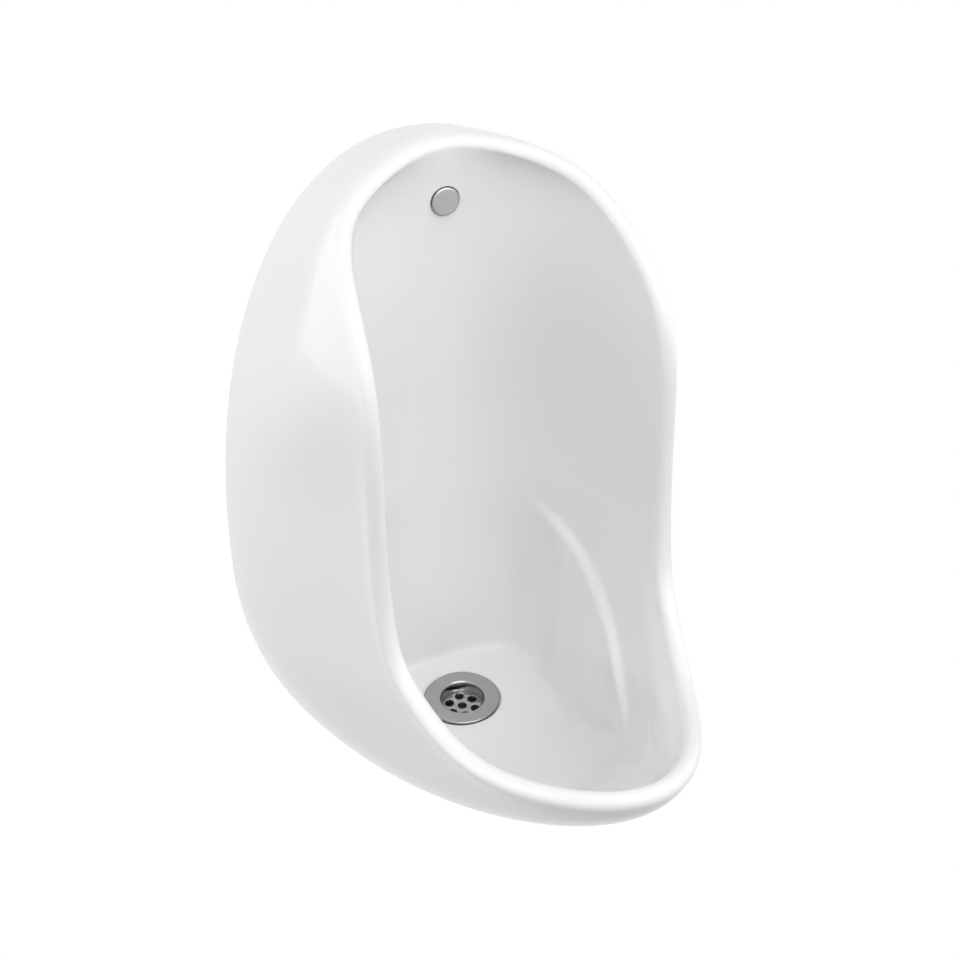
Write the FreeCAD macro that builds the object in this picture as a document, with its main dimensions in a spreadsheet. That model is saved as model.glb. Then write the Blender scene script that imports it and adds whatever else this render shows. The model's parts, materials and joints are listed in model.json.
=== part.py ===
"""Wall hung urinal: a glazed china bowl with its waste, its spreader and its hanging set.

Frame: the origin lies on the wall, on the centre line, at the middle of the four hanger screws.
+X is to the right of someone facing the bowl, +Y goes into the wall and +Z is up.
Lengths are millimetres. A height in the sheet is counted up from the seat of the waste flange.
"""
import FreeCAD, Part
import math
import os

from FreeCAD import Placement, Rotation, Vector

DOC = FreeCAD.newDocument("WallHungUrinal")
SHEET = DOC.addObject("Spreadsheet::Sheet", "Sizes")

# ---------------------------------------------------------------- driving sizes
SIZES = [
    # the bowl's outline on the wall
    ("wall_half_width", 169.0),
    ("wall_wide_height", 150.0),
    ("wall_top_height", 486.0),
    ("wall_foot_height", -105.0),
    ("fixing_height", 392.0),
    # the rolled rim, measured to the middle of its bead
    ("rim_half_width", 110.0),
    ("rim_top_height", 488.0),
    ("rim_low_height", 148.5),
    ("rim_top_reach", 55.0),
    ("rim_side_reach", 192.0),
    ("lip_reach", 377.0),
    ("lip_rise", 20.5),
    ("bead_radius", 7.0),
    ("bead_top_radius", 8.0),
    # the trough, the pocket and the ledge between them
    ("trough_top_depth", 58.5),
    ("pocket_back_depth", 24.0),
    ("pocket_half_width", 82.0),
    ("pocket_middle_depth", 110.0),
    ("lip_wall", 13.0),
    ("floor_corner", 22.0),
    ("floor_start", 100.0),
    ("floor_length", 242.0),
    ("ledge_width", 7.0),
    ("ledge_height", 182.0),
    # the hollow behind the bowl
    ("china_wall", 9.5),
    ("foot_width", 20.0),
    ("hang_bar_height", 16.0),
    ("hang_bar_thickness", 16.5),
    ("hang_bar_setback", 9.0),
    ("outlet_notch_width", 84.0),
    ("outlet_notch_depth", 112.0),
    # the waste, in the pocket's floor
    ("waste_setback", 80.0),
    ("waste_flange_radius", 32.5),
    ("waste_flange_thickness", 3.0),
    ("waste_flange_rise", 1.0),
    ("waste_flange_round", 1.8),
    ("waste_thread_radius", 20.95),
    ("waste_bore_radius", 17.3),
    ("waste_throat_radius", 18.6),
    ("waste_throat_round", 1.6),
    ("waste_length", 64.0),
    ("waste_free_thread", 33.0),
    ("waste_relief_radius", 20.2),
    ("waste_relief_width", 1.5),
    ("grating_depth", 9.7),
    ("grating_thickness", 1.6),
    ("grating_hole_radius", 3.97),
    ("grating_ring_radius", 11.8),
    ("grating_fit", 0.1),
    ("waste_seal_thickness", 1.5),
    ("waste_recess_clearance", 1.0),
    ("waste_hole_radius", 22.0),
    ("waste_boss_radius", 36.0),
    ("waste_boss_thickness", 11.0),
    ("waste_washer_radius", 31.0),
    ("waste_washer_thickness", 4.0),
    ("waste_slip_thickness", 1.5),
    ("waste_nut_radius", 31.0),
    ("waste_nut_thickness", 9.0),
    ("thread_gap", 0.1),
    # the spreader, high on the trough's back
    ("spreader_height", 450.0),
    ("spreader_seat_depth", 56.6),
    ("spreader_head_radius", 10.4),
    ("spreader_head_thickness", 3.6),
    ("spreader_head_round", 1.4),
    ("spreader_cup_depth", 2.2),
    ("spreader_slot_width", 2.2),
    ("spreader_slot_height", 1.4),
    ("spreader_seal_thickness", 1.0),
    ("spreader_thread_radius", 6.58),
    ("spreader_bore_radius", 4.3),
    ("spreader_hole_radius", 7.5),
    ("spreader_recess_clearance", 0.8),
    ("spreader_boss_radius", 15.0),
    ("spreader_boss_depth", 46.0),
    ("spreader_face_room", 26.0),
    ("spreader_washer_radius", 12.5),
    ("spreader_washer_thickness", 3.0),
    ("spreader_slip_thickness", 1.2),
    ("spreader_nut_radius", 12.0),
    ("spreader_nut_thickness", 6.0),
    ("stem_end_depth", 21.0),
    ("union_seal_thickness", 1.5),
    ("union_nut_radius", 13.5),
    ("union_nut_length", 16.0),
    ("union_shoulder", 2.5),
    ("inlet_socket_radius", 5.8),
    ("inlet_socket_gap", 0.3),
    ("inlet_pipe_radius", 5.0),
    ("inlet_pipe_bore", 4.2),
    ("inlet_collar_radius", 6.4),
    ("inlet_collar_thickness", 2.0),
    ("inlet_pipe_stand_out", 40.0),
    # the hanging set
    ("hanger_spacing", 110.0),
    ("hanger_width", 34.0),
    ("hanger_steel", 3.0),
    ("hanger_plate_top", 33.0),
    ("hanger_arm_drop", 35.0),
    ("hanger_arm_reach", 29.0),
    ("hanger_lip_height", 21.0),
    ("hanger_hole_radius", 3.2),
    ("pad_thickness", 1.5),
    ("screw_spacing", 40.0),
    ("screw_radius", 2.5),
    ("screw_shank_radius", 2.6),
    ("screw_length", 42.0),
    ("screw_head_radius", 4.6),
    ("screw_head_height", 2.6),
    ("screw_slot_width", 1.1),
    ("screw_slot_depth", 1.2),
    ("screw_washer_radius", 6.0),
    ("screw_washer_thickness", 1.2),
]


def fill_sheet(sheet, sizes):
    """Write each size to a row of the sheet, with its alias."""
    for row, (alias, value) in enumerate(sizes, start=1):
        sheet.set("A%d" % row, alias)
        sheet.set("B%d" % row, repr(value))
        sheet.setAlias("B%d" % row, alias)
    DOC.recompute()


def size(alias):
    """A driving size, as the sheet holds it."""
    return float(SHEET.get(alias))


fill_sheet(SHEET, SIZES)


# ---------------------------------------------------------------- curves of the bowl
def ease(low, high, share):
    """Go smoothly from low to high as share goes from 0 to 1."""
    share = min(1.0, max(0.0, share))
    share = share * share * (3.0 - 2.0 * share)
    return low + (high - low) * share


def along(turn, stations):
    """Ease between (turn, value) stations; turn runs 0 at the top to 180 at the lip."""
    turn = min(turn, 360.0 - turn)
    for (start, low), (end, high) in zip(stations, stations[1:]):
        if turn <= end:
            return ease(low, high, (turn - start) / (end - start))
    return stations[-1][1]


# turn, share of the half width, share of the reach (0 top, 1 side, 2 lip), share of the height
# between the rim's lowest and highest points, share of the lip's rise
RIM_STATIONS = [
    (0.0, 0.0, 0.0, 1.0, 0.0),
    (22.0, 0.555, 0.153, 0.968, 0.0),
    (45.0, 0.9, 0.482, 0.876, 0.0),
    (62.0, 0.982, 0.912, 0.711, 0.0),
    (77.0, 1.0, 1.0, 0.446, 0.0),
    (92.0, 1.0, 1.054, 0.178, 0.0),
    (108.0, 0.945, 1.19, 0.063, 0.0),
    (128.0, 0.79, 1.47, 0.0, 0.0),
    (152.0, 0.473, 1.816, 0.0, 0.46),
    (180.0, 0.0, 2.0, 0.0, 1.0),
]


def level(height):
    """Z of a height that is counted from the waste seat."""
    return height - size("fixing_height")


def rim_point(across, reach, height, rise):
    """One station of the bead's middle line, on the side of +X."""
    if reach <= 1.0:
        depth = size("rim_top_reach") + reach * (size("rim_side_reach") - size("rim_top_reach"))
    else:
        depth = size("rim_side_reach") + (reach - 1.0) * (size("lip_reach") - size("rim_side_reach"))
    tall = size("rim_top_height") - size("rim_low_height")
    up = size("rim_low_height") + height * tall + rise * size("lip_rise")
    return Vector(across * size("rim_half_width"), -depth, level(up))


def rim_line():
    """The closed, smooth middle line of the rim's bead; its parameter is the turn in degrees."""
    right = [(turn, rim_point(*shares)) for turn, *shares in RIM_STATIONS]
    left = [(360.0 - turn, Vector(-p.x, p.y, p.z)) for turn, p in right[-2:0:-1]]
    stations = right + left
    curve = Part.BSplineCurve()
    curve.interpolate(
        Points=[p for _, p in stations],
        Parameters=[turn for turn, _ in stations] + [360.0],
        PeriodicFlag=True,
    )
    return curve


RIM = rim_line()


def rim_frame(turn):
    """The bead's middle, the way its crest points and the way its outer side points."""
    centre = RIM.value(turn)
    run = RIM.tangent(turn)[0]
    half = min(max(min(turn, 360.0 - turn), 9.0), 171.0)
    profile = RIM.tangent(half)[0]
    crest = Vector(0.0, profile.z, -profile.y)
    crest = crest - run * crest.dot(run)
    crest.normalize()
    outer = run.cross(crest)
    outer.normalize()
    inside = Vector(0.0, -150.0, level(250.0))
    if outer.dot(centre - inside) < 0.0:
        outer = outer * -1.0
    return centre, crest, outer


def bead_point(turn, angle, grow=0.0):
    """A point of the bead; angle is degrees from the crest, positive on the outer side."""
    centre, crest, outer = rim_frame(turn)
    thin = size("bead_radius")
    radius = along(turn, [(0.0, size("bead_top_radius")), (62.0, thin), (180.0, thin)]) + grow
    a = math.radians(angle)
    point = centre + crest * (radius * math.cos(a)) + outer * (radius * math.sin(a))
    heading = crest * -math.sin(a) + outer * math.cos(a)
    return point, heading


OUTER_ROLL = [(0.0, 12.0), (30.0, 38.0), (62.0, 62.0), (80.0, 100.0), (100.0, 108.0), (128.0, 118.0),
              (180.0, 122.0)]
INNER_ROLL = [(0.0, 62.0), (45.0, 75.0), (180.0, 80.0)]


def wall_point(turn, inset=0.0):
    """A point of the outline on the wall: a superellipse above its widest line, an ellipse below."""
    a = math.radians(turn)
    across, up = math.sin(a), math.cos(a)
    upper = up >= 0.0
    power = 2.0 / (2.2 if upper else 2.0)
    middle = size("wall_wide_height")
    tall = size("wall_top_height") - middle if upper else middle - size("wall_foot_height")
    x = math.copysign(abs(across) ** power, across) * (size("wall_half_width") - inset)
    z = math.copysign(abs(up) ** power, up) * (tall - inset)
    return Vector(x, 0.0, level(middle + z))


def flank_point(turn, share):
    """A point of the outside, from the bead (share 0) to the wall (share 1)."""
    start, heading = bead_point(turn, along(turn, OUTER_ROLL))
    end = wall_point(turn)
    chord = (end - start).Length
    neck = along(turn, [(0.0, 0.35), (40.0, 0.20), (100.0, 0.12), (128.0, 0.13), (180.0, 0.11)]) * chord
    skirt = along(turn, [(0.0, 0.30), (90.0, 0.35), (128.0, 0.33), (180.0, 0.36)]) * chord
    climb = along(turn, [(0.0, 0.0), (100.0, 0.0), (140.0, 0.20), (180.0, 0.28)])
    away = Vector(0.0, -1.0, climb)
    away.normalize()
    b = 1.0 - share
    return (start * b ** 3 + (start + heading * neck) * (3.0 * b * b * share)
            + (end + away * skirt) * (3.0 * b * share * share) + end * share ** 3)


# ---------------------------------------------------------------- the cavity, as a signed function
# Inside these functions a height is counted from the waste seat.
EYE = Vector(0.0, -175.0, 130.0)
SHOULDER = 215.0
TURN_STEP = 10


def back_depth(height):
    """Y of the cavity's back wall at a height: a plane that leans out towards the top."""
    top, bottom = -size("trough_top_depth"), -size("pocket_back_depth")
    return bottom + (top - bottom) * (height - 4.0) / 446.0


def rim_inside():
    """Heights of the bead's inner side with its half width and its Y, from low to high."""
    points = []
    for turn in range(92, 0, -2):
        point = bead_point(turn, -along(turn, INNER_ROLL))[0]
        points.append((point.z + size("fixing_height"), point.x, point.y))
    return points


RIM_INSIDE = rim_inside()


def rim_opening(height):
    """Half width and Y of the opening's edge at a height."""
    if height <= RIM_INSIDE[0][0]:
        return RIM_INSIDE[0][1:]
    for (low, x1, y1), (high, x2, y2) in zip(RIM_INSIDE, RIM_INSIDE[1:]):
        if height <= high:
            share = (height - low) / (high - low)
            return x1 + (x2 - x1) * share, y1 + (y2 - y1) * share
    return RIM_INSIDE[-1][1:]


def pocket_floor(y):
    """Height of the floor, which climbs from the waste towards the lip."""
    run = max(0.0, -size("floor_start") - y)
    return -1.0 + run * run / (run + size("floor_length")) + 12.0 * ease(0.0, 1.0, (-240.0 - y) / 110.0)


def cavity_value(point):
    """Below zero inside the cavity, seen in a level slice through the point."""
    x, y, height = abs(point.x), point.y, point.z
    back = back_depth(height)
    if height >= SHOULDER:
        width, edge = rim_opening(height)
        if y < edge:
            return x / width - 1.0
        return (x / width) ** 2.2 + ((y - edge) / (back - edge)) ** 2.2 - 1.0
    width, edge = rim_opening(SHOULDER)
    share = max(0.0, height) / SHOULDER
    wide = size("pocket_half_width") + (width - size("pocket_half_width")) * share ** 0.8
    middle = -size("pocket_middle_depth") + (edge + size("pocket_middle_depth")) * share
    if y >= middle:
        power = ease(3.4, 2.2, (height - 60.0) / (SHOULDER - 60.0))
        return (x / wide) ** power + ((y - middle) / (back - middle)) ** power - 1.0
    front = size("lip_wall") - size("lip_reach")
    power = ease(1.55, 1.65, share)
    return (x / wide) ** power + ((middle - y) / (middle - front)) ** power - 1.0


def ledge_inset(point):
    """How far the pocket's wall stands in from the trough's wall at a point."""
    crest = size("ledge_height") - 0.70 * (-74.0 - point.y)
    below = (crest - point.z) * 0.82
    shown = ease(0.0, 1.0, (-60.0 - point.y) / 35.0) * ease(1.0, 0.0, (-190.0 - point.y) / 65.0)
    return size("ledge_width") * shown * ease(0.0, 1.0, (below + 4.5) / 9.0)


def reach_along(heading, value):
    """Distance from the eye to where value turns positive along a heading."""
    far = 6.0
    while far < 900.0 and value(EYE + heading * far) < 0.0:
        far += 6.0
    near = far - 6.0
    for _ in range(22):
        middle = 0.5 * (near + far)
        if value(EYE + heading * middle) < 0.0:
            near = middle
        else:
            far = middle
    return far


def cavity_row(turn, shares, drain_radius, ledge=True):
    """Points of the cavity's wall, from the bead's inner side (share 0) to the drain (share 1)."""
    start = bead_point(turn, -along(turn, INNER_ROLL))[0] + Vector(0.0, 0.0, size("fixing_height"))
    a = math.radians(turn)
    end = Vector(drain_radius * math.sin(a), drain_radius * math.cos(a) - size("waste_setback"), -1.0)
    first, last = start - EYE, end - EYE
    start_reach = first.Length
    first.normalize()
    last.normalize()
    whole = first.getAngle(last)
    row = []
    offset = None
    for share in [0.0] + list(shares):
        heading = (first * math.sin((1.0 - share) * whole) + last * math.sin(share * whole))
        heading.normalize()
        side = reach_along(heading, cavity_value)
        if ledge:
            side -= ledge_inset(EYE + heading * side)
        ground = 900.0
        if heading.z < -0.02:
            ground = reach_along(heading, lambda p: pocket_floor(p.y) - p.z)
        corner = size("floor_corner") * min(1.0, max(0.0, -heading.z * 4.0))
        reach = 0.5 * (side + ground) - 0.5 * math.hypot(side - ground, corner)
        if offset is None:
            offset = start_reach - reach
            continue
        reach += offset * math.exp(-(share / 0.055) ** 2)
        row.append(EYE + heading * reach - Vector(0.0, 0.0, size("fixing_height")))
    return row


# ---------------------------------------------------------------- the china as surfaces
FLANK_SHARES = [1.0, 0.92, 0.80, 0.66, 0.52, 0.38, 0.26, 0.15, 0.06]
BEAD_STEPS = 7
CAVITY_SHARES = [0.02, 0.05, 0.085] + [0.12 + 0.034 * step for step in range(26)]
# rows at which the skins are parted into faces: flank, rim, trough or pocket
OUTER_SEAMS = [7, 15, 26]
HOLLOW_SEAMS = [8, 12]
HOLLOW_START = [(0.0, 0.26), (60.0, 0.30), (90.0, 0.38), (105.0, 0.47), (120.0, 0.60), (135.0, 0.68),
                (150.0, 0.72), (165.0, 0.62), (180.0, 0.56)]
HOLLOW_TURN = [(0.0, 0.08), (60.0, 0.08), (90.0, 0.28), (120.0, 0.60), (150.0, 0.76), (180.0, 0.54)]


def outer_rows():
    """For each turn, the points from the wall over the flank and the bead down to the drain."""
    rows = []
    for turn in range(0, 360, TURN_STEP):
        row = [flank_point(turn, share) for share in FLANK_SHARES]
        out, into = along(turn, OUTER_ROLL), -along(turn, INNER_ROLL)
        for step in range(BEAD_STEPS):
            row.append(bead_point(turn, out + (into - out) * step / (BEAD_STEPS - 1))[0])
        row += cavity_row(turn, CAVITY_SHARES, 14.0)
        row.append(drain_point(turn, 14.0, -1.0))
        rows.append(row)
    return rows


def drain_point(turn, radius, height):
    """A point of a level ring round the drain."""
    a = math.radians(turn)
    return Vector(radius * math.sin(a), radius * math.cos(a) - size("waste_setback"), level(height))


def pushed(rows, distance):
    """The grid's points moved along its normals; rows close on themselves, turn by turn."""
    moved = []
    for i, row in enumerate(rows):
        before, after = rows[i - 1], rows[(i + 1) % len(rows)]
        line = []
        for j, point in enumerate(row):
            ahead = row[min(j + 1, len(row) - 1)] - row[max(j - 1, 0)]
            normal = (after[j] - before[j]).cross(ahead)
            normal.normalize()
            line.append(point + normal * distance)
        moved.append(line)
    return moved


def hollow_rows():
    """For each turn, the hollow's skin: up inside the flank, round, and down behind the cavity."""
    wall = size("china_wall")
    turns = range(0, 360, TURN_STEP)
    flank, cavity = [], []
    for turn in turns:
        start = along(turn, HOLLOW_START)
        flank.append([flank_point(turn, 0.97 - (0.97 - start) * step / 8.0) for step in range(9)])
        first = along(turn, HOLLOW_TURN)
        shares = [first + (0.97 - first) * step / 15.0 for step in range(16)]
        cavity.append(cavity_row(turn, shares, size("waste_boss_radius") + 3.0, ledge=False))
    flank, cavity = pushed(flank, wall), pushed(cavity, wall)
    seat = -size("waste_flange_thickness") + size("waste_flange_rise") - size("waste_seal_thickness")
    seat -= size("waste_boss_thickness")
    rows = []
    for turn, outside, behind in zip(turns, flank, cavity):
        edge = wall_point(turn, size("foot_width"))
        rows.append([edge + Vector(0.0, 2.0, 0.0), edge + Vector(0.0, -4.0, 0.0)] + outside[1:] + behind
                    + [drain_point(turn, size("waste_boss_radius"), seat)])
    return rows


def sharpened(rows):
    """Poles whose smooth surface runs close to the rows' points."""
    poles = []
    for i, row in enumerate(rows):
        before, after = rows[i - 1], rows[(i + 1) % len(rows)]
        line = []
        for j, point in enumerate(row):
            pole = point + (point * 2.0 - before[j] - after[j]) * (1.0 / 6.0)
            if 0 < j < len(row) - 1:
                pole = pole + (point * 2.0 - row[j - 1] - row[j + 1]) * (1.0 / 6.0)
            line.append(pole)
        poles.append(line)
    return poles


def closed_skin(rows, seams):
    """A solid bounded by one smooth surface through the rows, cut at seams, and a flat cap on either end."""
    poles = sharpened(rows)
    turns, stations = len(poles), len(poles[0])
    surface = Part.BSplineSurface()
    surface.buildFromPolesMultsKnots(
        poles,
        [1] * (turns + 1),
        [4] + [1] * (stations - 4) + [4],
        [float(k) for k in range(turns + 1)],
        [float(k) for k in range(stations - 2)],
        True, False, 3, 3,
    )
    sides = [turns * k / 6.0 for k in range(7)]
    levels = [0.0] + [float(seam) for seam in seams] + [stations - 3.0]
    faces = [surface.toShape(start, end, low, high)
             for start, end in zip(sides, sides[1:]) for low, high in zip(levels, levels[1:])]
    for end in (levels[0], levels[-1]):
        ring_edges = [surface.vIso(end).toShape(start, stop) for start, stop in zip(sides, sides[1:])]
        faces.append(Part.Face(Part.Wire(ring_edges)))
    shell = Part.makeShell(faces)
    shell.sewShape()
    solid = Part.makeSolid(shell)
    if solid.Volume < 0.0:
        solid.reverse()
    return solid


# ---------------------------------------------------------------- building blocks
TURNS = {
    "up": Rotation(),
    "out": Rotation(Vector(1.0, 0.0, 0.0), 90.0),
}


def stated(formula):
    """A formula over the sheet, written with bare size names."""
    text = str(formula)
    for alias in sorted((name for name, _ in SIZES), key=len, reverse=True):
        text = text.replace(alias, "<<Sizes>>." + alias.upper())
    return text.replace("<<Sizes>>.", "Sizes.").lower().replace("sizes.", "Sizes.")


def solid_of(kind, name, place, heading, **formulas):
    """A primitive whose sizes and place follow the sheet."""
    item = DOC.addObject(kind, name)
    item.Placement = Placement(Vector(), TURNS[heading])
    for prop, formula in formulas.items():
        item.setExpression(prop, stated(formula))
    for axis, formula in zip("xyz", place):
        item.setExpression("Placement.Base." + axis, stated(formula))
    return item


def rod(name, place, heading, radius, length):
    """A cylinder that starts at place and runs along heading."""
    return solid_of("Part::Cylinder", name, place, heading, Radius=radius, Height=length)


def block(name, place, across, deep, tall):
    """A box whose lowest corner is at place."""
    return solid_of("Part::Box", name, place, "up", Length=across, Width=deep, Height=tall)


def hexagon(name, place, heading, radius, length):
    """A hexagonal bar; radius runs to its corners."""
    item = solid_of("Part::Prism", name, place, heading, Circumradius=radius, Height=length)
    item.Polygon = 6
    return item


def less(name, base, *tools):
    """Base with each tool cut away."""
    for count, tool in enumerate(tools, start=1):
        cut = DOC.addObject("Part::Cut", name if count == len(tools) else "%s_cut_%d" % (name, count))
        cut.Base, cut.Tool = base, tool
        base = cut
    return base


def joined(name, *pieces):
    """Pieces fused to one solid."""
    fuse = DOC.addObject("Part::MultiFuse", name)
    fuse.Shapes = list(pieces)
    fuse.Refine = True
    return fuse


def grouped(name, *pieces):
    """Separate, alike solids that share one node."""
    group = DOC.addObject("Part::Compound", name)
    group.Links = list(pieces)
    return group


def rounded(name, base, formula, wanted):
    """Base with its wanted edges rounded."""
    DOC.recompute()
    edges = [k for k, edge in enumerate(base.Shape.Edges, start=1) if wanted(edge)]
    radius = DOC.getObject("Sizes").get(formula)
    fillet = DOC.addObject("Part::Fillet", name)
    fillet.Base = base
    fillet.Edges = [(k, radius, radius) for k in edges]
    return fillet


def ring(name, place, heading, outer, inner, length):
    """A washer, a seal or a short tube."""
    body = rod(name + "_disc", place, heading, outer, length)
    hole = rod(name + "_hole", place, heading, inner, length)
    return less(name, body, hole)


def nut(name, place, heading, radius, bore, length):
    """A hexagonal nut with its corners turned off on both ends."""
    bar = hexagon(name + "_bar", place, heading, radius, length)
    turned = rod(name + "_turned", place, heading, "%s * 0.965" % radius, length)
    hole = rod(name + "_hole", place, heading, bore, length)
    body = DOC.addObject("Part::Common", name + "_body")
    body.Base, body.Tool = bar, turned
    return less(name, body, hole)


def free_form(name, rows, seams):
    """A solid of free-form china, which no primitive or profile gives."""
    item = DOC.addObject("Part::Feature", name)
    item.Shape = closed_skin(rows, seams)
    return item


# ---------------------------------------------------------------- places, as formulas over the sheet
WASTE_Y = "-waste_setback"
FLANGE_BASE = "(waste_flange_rise - waste_flange_thickness - fixing_height)"
CHINA_SEAT = "(%s - waste_seal_thickness)" % FLANGE_BASE
CHINA_UNDERSIDE = "(%s - waste_boss_thickness)" % CHINA_SEAT
SPREADER_Z = "(spreader_height - fixing_height)"
HEAD_Y = "(-spreader_seat_depth - spreader_seal_thickness)"
STEM_END_Y = "(-stem_end_depth)"


# ---------------------------------------------------------------- the bowl
def bowl():
    """The china: free-form ware, hollow behind, bored for its fittings, with a bar to hang by."""
    ware = free_form("bowl_ware", outer_rows(), OUTER_SEAMS)
    hollow = free_form("bowl_hollow", hollow_rows(), HOLLOW_SEAMS)
    bar = block("bowl_hang_bar", ("-wall_half_width", "-hang_bar_setback - hang_bar_thickness",
                                  "pad_thickness + hanger_steel - hanger_arm_drop"),
                "2 * wall_half_width", "hang_bar_thickness", "hang_bar_height")
    back_boss = rod("bowl_back_boss", ("0", "-spreader_boss_depth", SPREADER_Z), "out",
                    "spreader_boss_radius", "spreader_seat_depth - spreader_boss_depth")
    hollow = less("bowl_open_back", hollow, bar, back_boss)
    shell = less("bowl_shell", ware, hollow)
    recess = rod("bowl_waste_recess", ("0", WASTE_Y, CHINA_SEAT), "up",
                 "waste_flange_radius + waste_recess_clearance", "20")
    waste_hole = rod("bowl_waste_hole", ("0", WASTE_Y, CHINA_UNDERSIDE + " - 5"), "up", "waste_hole_radius",
                     "30")
    seat = rod("bowl_spreader_seat", ("0", "-spreader_seat_depth", SPREADER_Z), "out",
               "spreader_head_radius + spreader_recess_clearance", "12")
    hole = rod("bowl_spreader_hole", ("0", "-spreader_boss_depth + 5", SPREADER_Z), "out",
               "spreader_hole_radius", "30")
    back_face = rod("bowl_back_face", ("0", "-spreader_boss_depth + spreader_face_room", SPREADER_Z), "out",
                    "spreader_washer_radius + spreader_recess_clearance", "spreader_face_room")
    notch = block("bowl_outlet_notch", ("-outlet_notch_width / 2", "-outlet_notch_depth",
                                        "wall_foot_height - fixing_height - 5"),
                  "outlet_notch_width", "outlet_notch_depth + 5", "-wall_foot_height - 15")
    return less("bowl", shell, recess, waste_hole, seat, hole, back_face, notch)


# ---------------------------------------------------------------- the waste
def waste_fitting():
    """The chromed brass waste: flange, throat with a ledge for the grating, and threaded tail."""
    flange = rod("waste_flange", ("0", WASTE_Y, FLANGE_BASE), "up", "waste_flange_radius",
                 "waste_flange_thickness")
    top = rounded("waste_flange_round_edge", flange, "waste_flange_round",
                  lambda edge: edge.BoundBox.ZLength < 0.01 and edge.BoundBox.ZMin > level(0.5))
    tail = rod("waste_tail", ("0", WASTE_Y, "-waste_length - fixing_height"), "up", "waste_thread_radius",
               "waste_length")
    relief = ring("waste_relief", ("0", WASTE_Y, "waste_free_thread - waste_length - fixing_height"), "up",
                  "waste_thread_radius + 5", "waste_relief_radius", "waste_relief_width")
    body = less("waste_body", joined("waste_flange_and_tail", top, tail), relief)
    bore = rod("waste_bore", ("0", WASTE_Y, "-waste_length - fixing_height - 1"), "up", "waste_bore_radius",
               "waste_length + 10")
    throat = rod("waste_throat", ("0", WASTE_Y, "-grating_depth - grating_thickness - fixing_height"), "up",
                 "waste_throat_radius", "40")
    mouth = solid_of("Part::Cone", "waste_mouth",
                     ("0", WASTE_Y, "waste_flange_rise - waste_throat_round - fixing_height"), "up",
                     Radius1="waste_throat_radius", Radius2="waste_throat_radius + waste_throat_round",
                     Height="waste_throat_round")
    return less("waste_fitting", body, bore, throat, mouth)


def waste_grating():
    """The disc with seven holes that rests on the throat's ledge."""
    low = "-grating_depth - grating_thickness - fixing_height"
    disc = rod("grating_disc", ("0", WASTE_Y, low), "up", "waste_throat_radius - grating_fit",
               "grating_thickness")
    holes = [rod("grating_hole", ("0", WASTE_Y, low), "up", "grating_hole_radius", "grating_thickness")]
    for turn in range(6):
        x = "grating_ring_radius * sin(%d deg)" % (60 * turn + 10)
        y = "%s + grating_ring_radius * cos(%d deg)" % (WASTE_Y, 60 * turn + 10)
        holes.append(rod("grating_hole_%d" % turn, (x, y, low), "up", "grating_hole_radius",
                         "grating_thickness"))
    return less("waste_grating", disc, *holes)


def waste_rings():
    """The seal above the china, and the washers and the nut below it."""
    bore = "waste_thread_radius + thread_gap"
    slip = "%s - waste_washer_thickness - waste_slip_thickness" % CHINA_UNDERSIDE
    return [
        ring("waste_top_seal", ("0", WASTE_Y, CHINA_SEAT), "up", "waste_flange_radius - 1", bore,
             "waste_seal_thickness"),
        ring("waste_bottom_washer", ("0", WASTE_Y, CHINA_UNDERSIDE + " - waste_washer_thickness"), "up",
             "waste_washer_radius", bore, "waste_washer_thickness"),
        ring("waste_slip_washer", ("0", WASTE_Y, slip), "up", "waste_washer_radius", bore,
             "waste_slip_thickness"),
        nut("waste_backnut", ("0", WASTE_Y, slip + " - waste_nut_thickness"), "up", "waste_nut_radius", bore,
            "waste_nut_thickness"),
    ]


# ---------------------------------------------------------------- the spreader and its flush pipe
def spreader_head():
    """The chrome cap that throws the water down the trough through slots in its lower edge."""
    cap = rod("spreader_cap", ("0", HEAD_Y, SPREADER_Z), "out", "spreader_head_radius",
              "spreader_head_thickness")
    top = rounded("spreader_round_cap", cap, "spreader_head_round",
                  lambda edge: edge.BoundBox.YLength < 0.01 and edge.BoundBox.YMax < -59.0)
    cup = rod("spreader_cup", ("0", HEAD_Y, SPREADER_Z), "out", "spreader_thread_radius + thread_gap",
              "spreader_cup_depth")
    slots = []
    for turn in (-1, 0, 1):
        slots.append(block("spreader_slot_%d" % (turn + 1),
                           ("%d * 4.2 - spreader_slot_width / 2" % turn,
                            HEAD_Y + " - spreader_slot_height",
                            SPREADER_Z + " - spreader_head_radius - 1"),
                           "spreader_slot_width", "spreader_slot_height", "spreader_head_radius"))
    return less("spreader_head", top, cup, *slots)


def spreader_stem():
    """The threaded brass tube that carries the water through the china."""
    start = HEAD_Y + " - spreader_cup_depth + 0.5"
    length = "-(%s) - stem_end_depth" % start
    return ring("spreader_stem", ("0", STEM_END_Y, SPREADER_Z), "out", "spreader_thread_radius",
                "spreader_bore_radius", length)


def spreader_rings():
    """The face seal before the china, and the washers and the nut behind it."""
    bore = "spreader_thread_radius + thread_gap"
    washer = "-spreader_boss_depth + spreader_washer_thickness"
    slip = washer + " + spreader_slip_thickness"
    return [
        ring("spreader_face_seal", ("0", "-spreader_seat_depth", SPREADER_Z), "out",
             "spreader_head_radius - 0.6", bore, "spreader_seal_thickness"),
        ring("spreader_back_washer", ("0", washer, SPREADER_Z), "out", "spreader_washer_radius", bore,
             "spreader_washer_thickness"),
        ring("spreader_slip_washer", ("0", slip, SPREADER_Z), "out", "spreader_washer_radius", bore,
             "spreader_slip_thickness"),
        nut("spreader_backnut", ("0", slip + " + spreader_nut_thickness", SPREADER_Z), "out",
            "spreader_nut_radius", bore, "spreader_nut_thickness"),
    ]


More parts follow.
